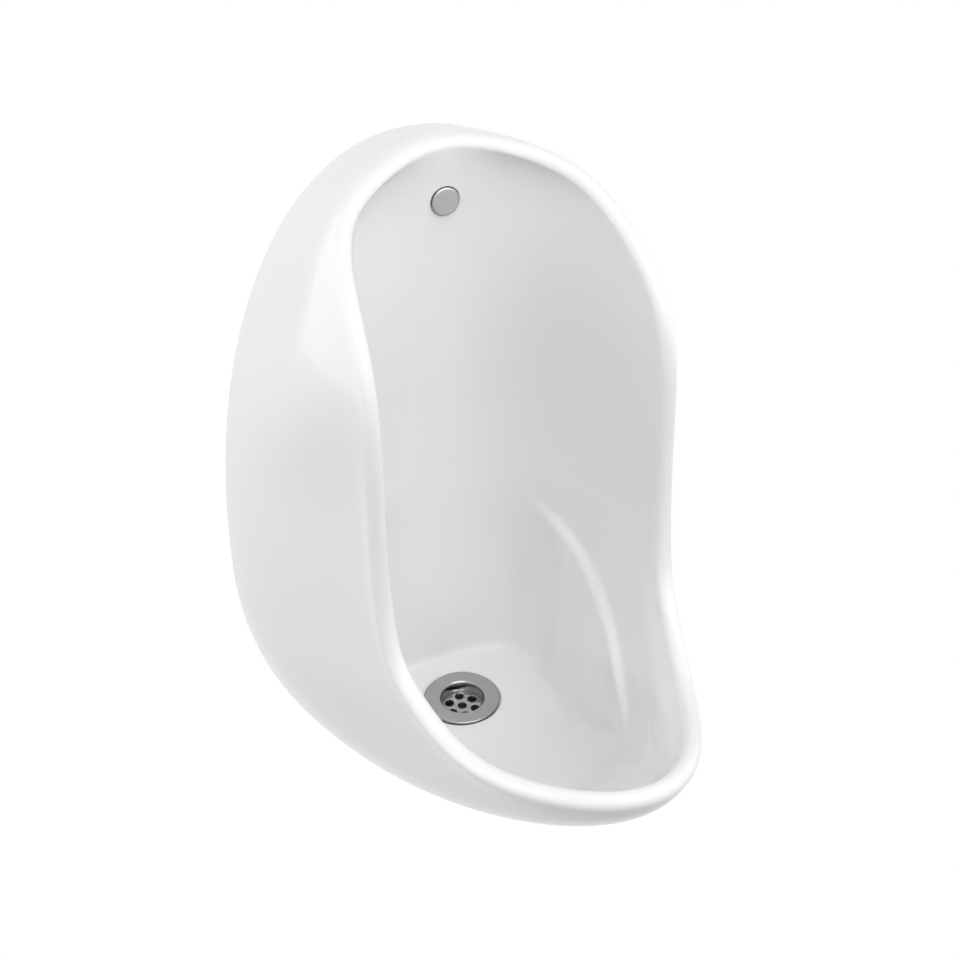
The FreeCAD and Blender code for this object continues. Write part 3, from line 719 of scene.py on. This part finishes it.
    def _opening(self, height: float) -> Tuple[float, float]:
        """Find the opening's edge at a height.

        Args:
            height: the height.

        Returns:
            The edge's half width and Y.
        """
        rows = self.inside
        if height <= rows[0][0]:
            return rows[0][1:]
        for (low, x1, y1), (high, x2, y2) in zip(rows, rows[1:]):
            if height <= high:
                share = (height - low) / (high - low)
                return x1 + (x2 - x1) * share, y1 + (y2 - y1) * share
        return rows[-1][1:]

    def ground(self, y: float) -> float:
        """Height of the floor, which climbs from the waste towards the lip.

        Args:
            y: the place from the wall, below zero.

        Returns:
            The height.
        """
        run = max(0.0, -self.floor_start - y)
        end = ease(0.0, 1.0, (-self.floor_end_start - y) / self.floor_end_run)
        return self.floor_level + run * run / (run + self.floor_length) + self.floor_end_rise * end

    def _cavity(self, point: Vector) -> float:
        """Tell the cavity's inside from its outside in the level slice through a point.

        Args:
            point: the point.

        Returns:
            A value below zero inside and above zero outside.
        """
        x, y, height = abs(point.x), point.y, point.z
        back = self._back(height)
        if height >= self.shoulder:
            width, edge = self._opening(height)
            if y < edge:
                return x / width - 1.0
            power = self.trough_power
            return (x / width) ** power + ((y - edge) / (back - edge)) ** power - 1.0
        width, edge = self._opening(self.shoulder)
        share = max(0.0, height) / self.shoulder
        flare = share ** self.pocket_flare
        wide = self.pocket_half_width + (width - self.pocket_half_width) * flare
        middle = -self.pocket_middle_depth + (edge + self.pocket_middle_depth) * share
        if y >= middle:
            climb = (height - self.pocket_power_height) / (self.shoulder - self.pocket_power_height)
            power = ease(self.pocket_power, self.trough_power, climb)
            return (x / wide) ** power + ((y - middle) / (back - middle)) ** power - 1.0
        front = self.lip_wall - self.lip_reach
        power = ease(self.lip_low_power, self.lip_high_power, share)
        return (x / wide) ** power + ((middle - y) / (middle - front)) ** power - 1.0

    def _ledge(self, point: Vector) -> float:
        """Measure the ledge, the step in which the pocket's wall stands in from the trough's.

        Args:
            point: a point of the wall.

        Returns:
            How far the wall stands in there.
        """
        crest = self.ledge_height - self.ledge_fall * (-self.ledge_back - point.y)
        below = (crest - point.z) * self.ledge_lean
        (grows, grow_run), (dies, die_run) = self.LEDGE_GROWS, self.LEDGE_DIES
        shown = (ease(0.0, 1.0, (-grows - point.y) / grow_run)
                 * ease(1.0, 0.0, (-dies - point.y) / die_run))
        rounded = ease(0.0, 1.0, (below + self.ledge_round) / (2.0 * self.ledge_round))
        return self.ledge_width * shown * rounded

    def _reach(self, heading: Vector, value: Callable[[Vector], float]) -> float:
        """Measure from the eye, a place inside the cavity, to where a value turns positive.

        Args:
            heading: the way to go.
            value: the value at a point, below zero at the eye.

        Returns:
            The distance.
        """
        far = self.STEP
        while far < self.FAR and value(self.EYE + heading * far) < 0.0:
            far += self.STEP
        near = far - self.STEP
        for _ in range(self.HALVINGS):
            middle = 0.5 * (near + far)
            if value(self.EYE + heading * middle) < 0.0:
                near = middle
            else:
                far = middle
        return far

    def cavity_row(self, turn: float, shares: Sequence[float], radius: float,
                   ledge: bool = True) -> List[Vector]:
        """Points of the cavity's wall from the bead to a ring round the waste.

        Args:
            turn: degrees round the bowl.
            shares: how far along each point lies, 0 at the bead and 1 at the ring.
            radius: the ring's radius.
            ledge: whether the pocket's ledge is in.

        Returns:
            One point for each share.
        """
        start = self.bead(turn, -along(turn, self.INNER_ROLL))[0]
        first = start - self.EYE
        last = self.ring(turn, radius, self.floor_level) - self.EYE
        start_reach = first.length
        whole = first.angle(last)
        first.normalize()
        last.normalize()
        row: List[Vector] = []
        offset = 0.0
        for count, share in enumerate([0.0] + list(shares)):
            heading = (first * math.sin((1.0 - share) * whole)
                       + last * math.sin(share * whole)).normalized()
            side = self._reach(heading, self._cavity)
            if ledge:
                side -= self._ledge(self.EYE + heading * side)
            down = self.FAR
            if heading.z < -self.LEVEL:
                down = self._reach(heading, lambda p: self.ground(p.y) - p.z)
            corner = self.floor_corner * min(1.0, max(0.0, -heading.z * self.CORNER_FADE))
            reach = 0.5 * (side + down) - 0.5 * math.hypot(side - down, corner)
            if count == 0:
                offset = start_reach - reach
                continue
            blend = math.exp(-(share / self.RIM_BLEND) ** 2)
            row.append(self.EYE + heading * (reach + offset * blend))
        return row

    def ring(self, turn: float, radius: float, height: float) -> Vector:
        """A point of a level ring round the waste."""
        a = math.radians(turn)
        return Vector((radius * math.sin(a), radius * math.cos(a) - self.waste_setback, height))

    @staticmethod
    def pushed(rows: List[List[Vector]], distance: float) -> List[List[Vector]]:
        """Move a closed surface's points along its normals, into the china.

        Args:
            rows: the surface's points, row by row round the bowl.
            distance: how far they go.

        Returns:
            The moved points.
        """
        moved = []
        for i, row in enumerate(rows):
            before, after = rows[i - 1], rows[(i + 1) % len(rows)]
            line = []
            for j, point in enumerate(row):
                ahead = row[min(j + 1, len(row) - 1)] - row[max(j - 1, 0)]
                normal = (after[j] - before[j]).cross(ahead).normalized()
                line.append(point + normal * distance)
            moved.append(line)
        return moved


@dataclass
class Bowl:
    """The one piece of china: its skin, its hollow, its bores and the bar that it hangs by."""

    ware: Ware
    wall_round: float = 0.6
    foot_round: float = 0.8
    recess_radius: float = 33.5
    seat_height: float = -3.5
    seat_corner: float = 0.3
    hole_radius: float = 22.0
    hole_arris: float = 0.5
    boss_radius: float = 36.0
    boss_height: float = -14.5
    boss_corner: float = 1.5
    spreader_height: float = 450.0
    spreader_seat: float = 56.6
    spreader_recess: float = 11.2
    spreader_recess_reach: float = 12.0
    spreader_hole: float = 7.5
    spreader_hole_reach: float = 30.0
    spreader_back: float = 46.0
    spreader_face: float = 13.3
    face_room: float = 26.0
    bar_half: float = 121.0
    # the bar's height is counted from the frame's origin
    bar_low: float = -30.5
    bar_height: float = 16.0
    bar_back: float = 9.0
    bar_thickness: float = 16.5
    bar_round: float = 1.5
    notch_width: float = 84.0
    notch_depth: float = 112.0
    notch_top: float = -15.0
    overrun: float = 5.0
    sharp: float = 40.0

    FLANK_SHARES = (0.985, 0.95, 0.89, 0.82, 0.74, 0.66, 0.58, 0.50, 0.42, 0.34, 0.27, 0.205, 0.145,
                    0.09, 0.045)
    CAVITY_START = (0.012, 0.03, 0.05, 0.075, 0.10)
    CAVITY_EVEN = (0.12, 0.0108, 80)
    CAVITY_END = 0.985
    HOLLOW_END = 0.97
    BEAD_PARTS = 10
    # how far outside the recess the floor ends, and the recess's edge: out from its wall, and down
    FLOOR_GAP = 1.5
    RECESS_EDGE = ((0.7, 0.0), (0.2, 0.15), (0.0, 0.7))
    # the hollow's foot, in from the wall
    FOOT_DEPTHS = (4.0, 1.0)

    def _hollow(self, turns: Sequence[float]) -> Tuple[List[List[Vector]], List[List[Vector]]]:
        """Lay the hollow's two sides inside the china.

        Args:
            turns: degrees round the bowl.

        Returns:
            The side behind the flanks and the side behind the cavity, a line of each for each turn.
        """
        ware, end = self.ware, self.HOLLOW_END
        flanks, behinds = [], []
        for turn in turns:
            start, first = along(turn, ware.HOLLOW_START), along(turn, ware.HOLLOW_TURN)
            flanks.append([ware.flank(turn, end - (end - start) * k / 9.0) for k in range(10)])
            shares = [first + (end - first) * k / 15.0 for k in range(16)]
            behinds.append(ware.cavity_row(turn, shares, self.boss_radius + 2.0 * self.boss_corner,
                                           ledge=False))
        return ware.pushed(flanks, ware.china_wall), ware.pushed(behinds, ware.china_wall)

    def _seat(self, turn: float) -> List[Vector]:
        """Follow the waste's recess, its seat, its hole and the underside of its boss.

        Args:
            turn: degrees round the bowl.

        Returns:
            The line's points, from the floor to the boss's edge.
        """
        line = []
        for gap, sink in self.RECESS_EDGE:
            point = self.ware.ring(turn, self.recess_radius + gap, 0.0)
            point.z = self.ware.ground(point.y) - sink
            line.append(point)
        hole, arris, corner = self.hole_radius, self.hole_arris, self.seat_corner
        for radius, height in ((self.recess_radius, self.seat_height + corner),
                               (self.recess_radius - corner, self.seat_height),
                               (hole + arris, self.seat_height), (hole, self.seat_height - arris),
                               (hole, self.boss_height + arris), (hole + arris, self.boss_height),
                               (self.boss_radius - self.boss_corner, self.boss_height)):
            line.append(self.ware.ring(turn, radius, height))
        return line

    def columns(self) -> List[List[Vector]]:
        """Follow the china all the way round at each turn.

        Returns:
            For each turn, a closed line over the outside, the rim, the cavity and the waste's seat,
            and back through the hollow to the foot on the wall.
        """
        ware = self.ware
        turns = [360.0 * k / ware.turns for k in range(ware.turns)]
        start, step, count = self.CAVITY_EVEN
        shares = [*self.CAVITY_START, *(start + step * k for k in range(count)), self.CAVITY_END]
        lines = []
        for turn, flank, behind in zip(turns, *self._hollow(turns)):
            line = [ware.wall(turn, self.wall_round)]
            line += [ware.flank(turn, share) for share in self.FLANK_SHARES]
            out, into = along(turn, ware.OUTER_ROLL), -along(turn, ware.INNER_ROLL)
            line += [ware.bead(turn, out + (into - out) * k / self.BEAD_PARTS)[0]
                     for k in range(self.BEAD_PARTS + 1)]
            line += ware.cavity_row(turn, shares, self.recess_radius + self.FLOOR_GAP)
            line += self._seat(turn)
            line += behind[::-1] + flank[:0:-1]
            foot = ware.wall(turn, ware.foot_width)
            line += [foot + OUT * depth for depth in self.FOOT_DEPTHS]
            line.append(ware.wall(turn, ware.foot_width - self.foot_round))
            lines.append(line)
        return lines

    def skin(self) -> bpy.types.Mesh:
        """Wrap a grid round the form, close it both ways and smooth it.

        Returns:
            The china's closed skin, without its bores and its bar.
        """
        lines = self.columns()
        rows = len(lines[0])
        bm = bmesh.new()
        bmesh.ops.create_grid(bm, x_segments=len(lines), y_segments=rows, size=1.0)
        bm.verts.ensure_lookup_table()
        wide = len(lines) + 1
        lift = UP * self.ware.fixing_height
        for index, vert in enumerate(bm.verts):
            column, row = index % wide, index // wide
            vert.co = (lines[column % len(lines)][row % rows] - lift) * MM
        mesh = finished(bm, "bowl_skin", 180.0)

        def dress(holder: bpy.types.Object) -> None:
            """Smooth the skin by one subdivision."""
            subdivision = holder.modifiers.new("smooth", "SUBSURF")
            subdivision.levels = subdivision.render_levels = 1

        return evaluated(mesh, dress)

    def tools(self) -> List[bmesh.types.BMesh]:
        """Shape what is cut out of the skin.

        Returns:
            The spreader's recess, its hole and the face for its nut, and the notch for the outlet.
        """
        ware = self.ware
        height = self.spreader_height - ware.fixing_height
        foot = ware.wall_foot_height - ware.fixing_height - self.overrun
        roof = self.notch_top - ware.fixing_height - self.overrun
        half = self.notch_width / 2

        def bore(depth: float, radius: float, length: float,
                 segments: int = 64) -> bmesh.types.BMesh:
            """A bore on the spreader's axis, outward from a depth."""
            return drum(Vector((0.0, -depth, height)) * MM, OUT, radius * MM, length * MM, segments)

        return [
            bore(self.spreader_seat, self.spreader_recess, self.spreader_recess_reach, 96),
            bore(self.spreader_back - self.overrun, self.spreader_hole, self.spreader_hole_reach),
            bore(self.spreader_back - self.face_room, self.spreader_face, self.face_room),
            crate(Vector((-half, -self.notch_depth, foot)) * MM,
                  Vector((half, self.overrun, roof)) * MM),
        ]

    def bar(self) -> bpy.types.Mesh:
        """The china bar across the hollow, its ends sunk in the flanks.

        Returns:
            The bar, with rounded edges.
        """
        back = -self.bar_back
        bm = crate(Vector((-self.bar_half, back - self.bar_thickness, self.bar_low)) * MM,
                   Vector((self.bar_half, back, self.bar_low + self.bar_height)) * MM)
        bmesh.ops.bevel(bm, geom=list(bm.edges), offset=self.bar_round * MM, segments=3,
                        profile=0.5, affect="EDGES", material=-1)
        return poured(bm, "bar")

    def build(self, finishes: Materials) -> None:
        """Make the bowl and let it stand for its CAD node.

        Args:
            finishes: the built materials.
        """
        bm = bmesh.new()
        for part in (cut_away(self.skin(), self.tools()), self.bar()):
            bm.from_mesh(part)
            bpy.data.meshes.remove(part)
        china = poured(bm, "bowl_china")
        smooth(china, self.sharp)
        new_piece("bowl_china", china, Slot.CHINA, finishes, "bowl")


# ------------------------------------------------------------------------------------- the waste
@dataclass
class Waste:
    """The chromed waste: a dished flange, a rolled mouth, a throat, and the threaded tail below."""

    setback: float = 80.0
    fixing_height: float = 392.0
    flange_radius: float = 32.5
    flange_low: float = -2.0
    flange_edge: float = 1.1
    brim_height: float = 1.0
    brim_drop: float = 0.15
    mouth_low: float = -2.2
    mouth_rise: float = 3.0
    mouth_run: float = 2.2
    throat_radius: float = 18.6
    ledge: float = -11.3
    bore_radius: float = 17.3
    tail_radius: float = 20.95
    tail_end: float = -64.0
    tail_bevel: float = 1.2
    tail_lead: float = 1.5
    thread_depth: float = 0.7
    thread_crest: float = 0.25
    thread_start: float = 9.0
    free_thread: float = 33.0
    relief_width: float = 1.5
    pitch: float = 2.31
    grating_top: float = -9.7
    grating_thickness: float = 1.6
    grating_fit: float = 0.1
    grating_bevel: float = 0.25
    hole_radius: float = 3.97
    hole_ring: float = 11.8
    outer_holes: int = 6
    holes_turn: float = 10.0
    overrun: float = 1.0

    # the flange's dish: radius, and height over the brim
    DISH = ((23.0, -0.25), (27.0, -0.15), (30.2, 0.0), (31.4, -0.15))
    CORNER = 1.2

    def place(self) -> Vector:
        """The middle of the waste at the height of its flange's rim."""
        return Vector((0.0, -self.setback, -self.fixing_height)) * MM

    def profile(self) -> Profile:
        """Draw the fitting's half section.

        Returns:
            Its corners, from the throat's ledge over the flange to the tail's end, in metres.
        """
        points = [(self.bore_radius, self.ledge), (self.throat_radius, self.ledge),
                  (self.throat_radius, self.mouth_low)]
        points += [(self.throat_radius + self.mouth_run * out,
                    self.mouth_low + self.mouth_rise * (1.0 - left))
                   for out, left in quarter_round(6, 1)]
        points += [(radius, self.brim_height + rise) for radius, rise in self.DISH]
        points += [(self.flange_radius - self.flange_edge * left,
                    self.brim_height - self.brim_drop - self.flange_edge * down)
                   for down, left in quarter_round(5, 1)]
        points += [(self.flange_radius, self.flange_low), (self.tail_radius, self.flange_low)]
        relief = self.tail_end + self.free_thread
        points += self.thread(self.flange_low - self.thread_start, relief + self.relief_width)
        points += self.thread(relief, self.tail_end + self.tail_lead)
        points += [(self.tail_radius - self.tail_bevel, self.tail_end),
                   (self.bore_radius, self.tail_end)]
        return [(radius * MM, run * MM) for radius, run in points]

    def thread(self, top: float, bottom: float) -> Profile:
        """Draw the tail's half section down a run of thread, with a plain groove at either end.

        Args:
            top: height of the upper groove.
            bottom: height of the lower one.

        Returns:
            The run's corners.
        """
        root = self.tail_radius - self.thread_depth
        points = [(self.tail_radius, top + self.thread_depth), (root, top)]
        for count in range(int((top - bottom) / self.pitch)):
            crest = top - self.pitch * (count + 0.5)
            points += [(self.tail_radius, crest + self.thread_crest),
                       (self.tail_radius, crest - self.thread_crest),
                       (root, crest - self.pitch * 0.5)]
        return points + [(root, bottom), (self.tail_radius, bottom - self.thread_depth)]

    def grating(self) -> bpy.types.Mesh:
        """Cut a middle hole and a ring of holes round it out of a disc, and bevel every edge.

        Returns:
            The grating.
        """
        low = self.place() + UP * (self.grating_top - self.grating_thickness) * MM
        thick = self.grating_thickness * MM
        disc = drum(low, UP, (self.throat_radius - self.grating_fit) * MM, thick, 96)
        centres = [Vector((0.0, 0.0, 0.0))]
        for count in range(self.outer_holes):
            a = math.radians(360.0 / self.outer_holes * count + self.holes_turn)
            centres.append(Vector((math.sin(a), math.cos(a), 0.0)) * self.hole_ring * MM)
        past = self.overrun * MM
        tools = [drum(low + centre - UP * past, UP, self.hole_radius * MM, thick + 2.0 * past, 48)
                 for centre in centres]
        mesh = cut_away(poured(disc, "grating"), tools)
        bm = bmesh.new()
        bm.from_mesh(mesh)
        bpy.data.meshes.remove(mesh)
        rims = [edge for edge in bm.edges
                if edge.is_manifold and edge.calc_face_angle(0.0) > self.CORNER]
        bmesh.ops.bevel(bm, geom=rims, offset=self.grating_bevel * MM, segments=2, profile=0.5,
                        affect="EDGES", material=-1)
        return finished(bm, "waste_grating_disc")

    def build(self, finishes: Materials) -> None:
        """Make the fitting, its bore below the grating painted near black as shade, and the
        grating.

        Args:
            finishes: the built materials.
        """
        centre = self.place()
        body = finished(spun(self.profile(), centre, UP, 128), "waste_body")
        new_piece("waste_body", body, Slot.CHROME, finishes, "waste_fitting")
        # painted shade: the bore's faces below the grating get a near-black finish in place of the
        # shade down the throat
        body.materials.append(BORE_SHADE.build("bore_painted_shade"))
        for face in body.polygons:
            away = face.center - centre
            if away.z < self.grating_top * MM and away.xy.length < self.throat_radius * MM:
                face.material_index = 1
        new_piece("waste_grating_disc", self.grating(), Slot.CHROME, finishes, "waste_grating")


# ------------------------------------------------------------------------------------- the spreader
@dataclass
class Spreader:
    """The chrome cap high on the trough's back wall."""

    # the height is counted from the frame's origin
    height: float = 58.0
    base: float = 57.6
    radius: float = 10.4
    thickness: float = 3.6
    front_round: float = 1.4
    back_bevel: float = 0.3
    cup_radius: float = 6.68
    cup_depth: float = 2.2
    slot_width: float = 2.2
    slot_height: float = 1.4
    slot_pitch: float = 4.2
    slot_end: float = 6.0
    slot_overrun: float = 1.0
    base_overrun: float = 0.5
    sharp: float = 35.0

    def cap(self) -> bmesh.types.BMesh:
        """Spin the cap: a flat face with a rolled edge, and a cup behind for the stem.

        Returns:
            The cap without its slots.
        """
        points = [(0.0, self.cup_depth), (self.cup_radius, self.cup_depth), (self.cup_radius, 0.0),
                  (self.radius - self.back_bevel, 0.0), (self.radius, self.back_bevel)]
        points += [(self.radius - self.front_round * into, self.thickness - self.front_round * back)
                   for into, back in quarter_round(6)]
        points += [(self.radius * 0.5, self.thickness), (0.0, self.thickness)]
        place = Vector((0.0, -self.base, self.height)) * MM
        return spun([(radius * MM, run * MM) for radius, run in points], place, OUT, closed=False)

    def slot(self, middle: float) -> bmesh.types.BMesh:
        """A slot for the water, below the cap.

        Args:
            middle: the slot's middle across.

        Returns:
            The shape to cut.
        """
        half = self.slot_width / 2
        low = Vector((middle - half, -self.base - self.slot_height,
                      self.height - self.radius - self.slot_overrun))
        high = Vector((middle + half, -self.base + self.base_overrun, self.height - self.slot_end))
        return crate(low * MM, high * MM)

    def build(self, finishes: Materials) -> None:
        """Make the cap with its three slots and let it stand for the spreader's head.

        Args:
            finishes: the built materials.
        """
        slots = [self.slot(side * self.slot_pitch) for side in (-1, 0, 1)]
        mesh = cut_away(finished(self.cap(), "spreader_cap"), slots)
        smooth(mesh, self.sharp)
        new_piece("spreader_cap", mesh, Slot.CHROME, finishes, "spreader_head")


# ------------------------------------------------------------------------------------- the rest
@dataclass
class Fittings:
    """The CAD nodes whose solids have the right shape and only need their finish."""

    frame: Dict[str, Any]

    def dress(self, finishes: Materials) -> None:
        """Give every node the material of its slot in the record.

        Args:
            finishes: the built materials.
        """
        slots = {part["node"]: part["material_slot"] for part in self.frame["record"]["subparts"]}
        for node, thing in self.frame["nodes"].items():
            for holder in thing.material_slots:
                holder.material = finishes[Slot(slots[node])]
            LOG.info("%s: dressed", node)


# ------------------------------------------------------------------------------------- the studio
@dataclass(frozen=True)
class Lamp:
    """A square soft lamp that faces the bowl, in metres and watts."""

    name: str
    place: Tuple[float, float, float]
    side: float
    power: float

    AIM = Vector((0.0, -0.12, -0.15))

    def hang(self) -> None:
        """Put the lamp in the scene."""
        data = bpy.data.lights.new(self.name, "AREA")
        data.size = self.side
        data.energy = self.power
        lamp = stand(self.name, data)
        lamp.location = self.place
        aim = self.AIM - Vector(self.place)
        lamp.rotation_euler = aim.to_track_quat("-Z", "Y").to_euler()


@dataclass
class Studio:
    """The photograph's camera, a pale floor and soft light, in metres."""

    # the camera's heights are counted up from the rim of the waste flange
    fixing_height: float = 0.392
    eye: Tuple[float, float, float] = (-0.3457, -0.8670, 0.8076)
    target: Tuple[float, float, float] = (0.01701, -0.0800, 0.2238)
    lens: float = 50.0
    sensor: float = 36.0
    view_end: float = 50.0
    floor_drop: float = 1.0
    floor_half: float = 10.0
    floor_grey: float = 0.26
    backdrop: float = 1.0
    dome_low: float = 0.10
    dome_high: float = 0.20

    LAMPS = (Lamp("over", (0.0, -0.5, 2.2), 2.4, 4.0),
             Lamp("high_front", (0.0, -1.7, 1.7), 3.0, 39.5),
             Lamp("high_left", (-1.4, -1.2, 1.4), 2.0, 2.0),
             Lamp("high_right", (1.4, -1.2, 1.4), 2.0, 11.0),
             Lamp("front_right", (1.1, -2.1, 0.5), 2.2, 7.0),
             Lamp("left", (-2.3, -0.5, 0.3), 2.2, 13.0),
             Lamp("back_left", (-2.0, 0.9, 0.5), 2.6, 27.0),
             Lamp("right", (2.3, -0.5, 0.3), 2.2, 12.0))

    def camera(self) -> None:
        """Stand the camera where the photograph's was."""
        data = bpy.data.cameras.new("camera")
        data.lens = self.lens
        data.sensor_width = self.sensor
        data.clip_end = self.view_end
        camera = stand("camera", data)
        lift = UP * self.fixing_height
        eye, target = Vector(self.eye) - lift, Vector(self.target) - lift
        camera.location = eye
        camera.rotation_euler = (target - eye).to_track_quat("-Z", "Y").to_euler()
        bpy.context.scene.camera = camera

    @staticmethod
    def show(tree: bpy.types.NodeTree, output: bpy.types.Node, lit: bpy.types.NodeSocket,
             seen: bpy.types.NodeSocket) -> None:
        """Show one shader to rays that see the background, and another to those that light it.

        Args:
            tree: the nodes to add to.
            output: the output node.
            lit: the shader for every other ray.
            seen: the shader for rays from the camera, off a glossy surface or through a clear one.
        """
        path = tree.nodes.new("ShaderNodeLightPath")
        value = path.outputs["Is Camera Ray"]
        for name in ("Is Glossy Ray", "Is Transmission Ray"):
            either = tree.nodes.new("ShaderNodeMath")
            either.operation = "MAXIMUM"
            tree.links.new(value, either.inputs[0])
            tree.links.new(path.outputs[name], either.inputs[1])
            value = either.outputs["Value"]
        mix = tree.nodes.new("ShaderNodeMixShader")
        tree.links.new(value, mix.inputs["Fac"])
        tree.links.new(lit, mix.inputs[1])
        tree.links.new(seen, mix.inputs[2])
        tree.links.new(mix.outputs["Shader"], output.inputs["Surface"])

    def surround(self) -> None:
        """Raise a pale dome whose white is what the camera, the metal and the glaze see."""
        world = bpy.data.worlds.new("surround")
        bpy.context.scene.world = world
        world.use_nodes = True
        tree = world.node_tree
        tree.nodes.clear()
        output = tree.nodes.new("ShaderNodeOutputWorld")
        place = tree.nodes.new("ShaderNodeTexCoord")
        parts = tree.nodes.new("ShaderNodeSeparateXYZ")
        grade = tree.nodes.new("ShaderNodeMapRange")
        grade.inputs["From Min"].default_value = -1.0
        grade.inputs["To Min"].default_value = self.dome_low
        grade.inputs["To Max"].default_value = self.dome_high
        soft, white = (tree.nodes.new("ShaderNodeBackground") for _ in range(2))
        for background in (soft, white):
            background.inputs["Color"].default_value = WHITE
        white.inputs["Strength"].default_value = self.backdrop
        tree.links.new(place.outputs["Generated"], parts.inputs["Vector"])
        tree.links.new(parts.outputs["Z"], grade.inputs["Value"])
        tree.links.new(grade.outputs["Result"], soft.inputs["Strength"])
        self.show(tree, output, soft.outputs["Background"], white.outputs["Background"])

    def floor(self) -> None:
        """Lay a wide pale floor below the bowl, white to the camera and grey to the lamps."""
        bm = bmesh.new()
        bmesh.ops.create_grid(bm, x_segments=1, y_segments=1, size=self.floor_half)
        bmesh.ops.translate(bm, verts=bm.verts, vec=UP * -self.floor_drop)
        floor = stand("floor", poured(bm, "floor"))
        material = bpy.data.materials.new("floor")
        material.use_nodes = True
        tree = material.node_tree
        tree.nodes.clear()
        output = tree.nodes.new("ShaderNodeOutputMaterial")
        matt = tree.nodes.new("ShaderNodeBsdfDiffuse")
        grey = self.floor_grey
        matt.inputs["Color"].default_value = (grey, grey, grey, 1.0)
        white = tree.nodes.new("ShaderNodeEmission")
        white.inputs["Strength"].default_value = self.backdrop
        self.show(tree, output, matt.outputs["BSDF"], white.outputs["Emission"])
        floor.data.materials.append(material)

    def build(self) -> None:
        """Set up the camera, the light and the floor."""
        self.camera()
        self.surround()
        for lamp in self.LAMPS:
            lamp.hang()
        self.floor()
        bpy.context.scene.view_settings.view_transform = "Standard"
        LOG.info("studio: %d lamps", len(self.LAMPS))


def main() -> None:
    """Build the urinal's looks on its CAD frame."""
    logging.basicConfig(level=logging.INFO, format="%(name)s: %(message)s")
    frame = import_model()
    finishes = {finish.slot: finish.build() for finish in FINISHES}
    Fittings(frame).dress(finishes)
    Bowl(Ware()).build(finishes)
    Waste().build(finishes)
    Spreader().build(finishes)
    Studio().build()


if __name__ == "__main__":
    main()
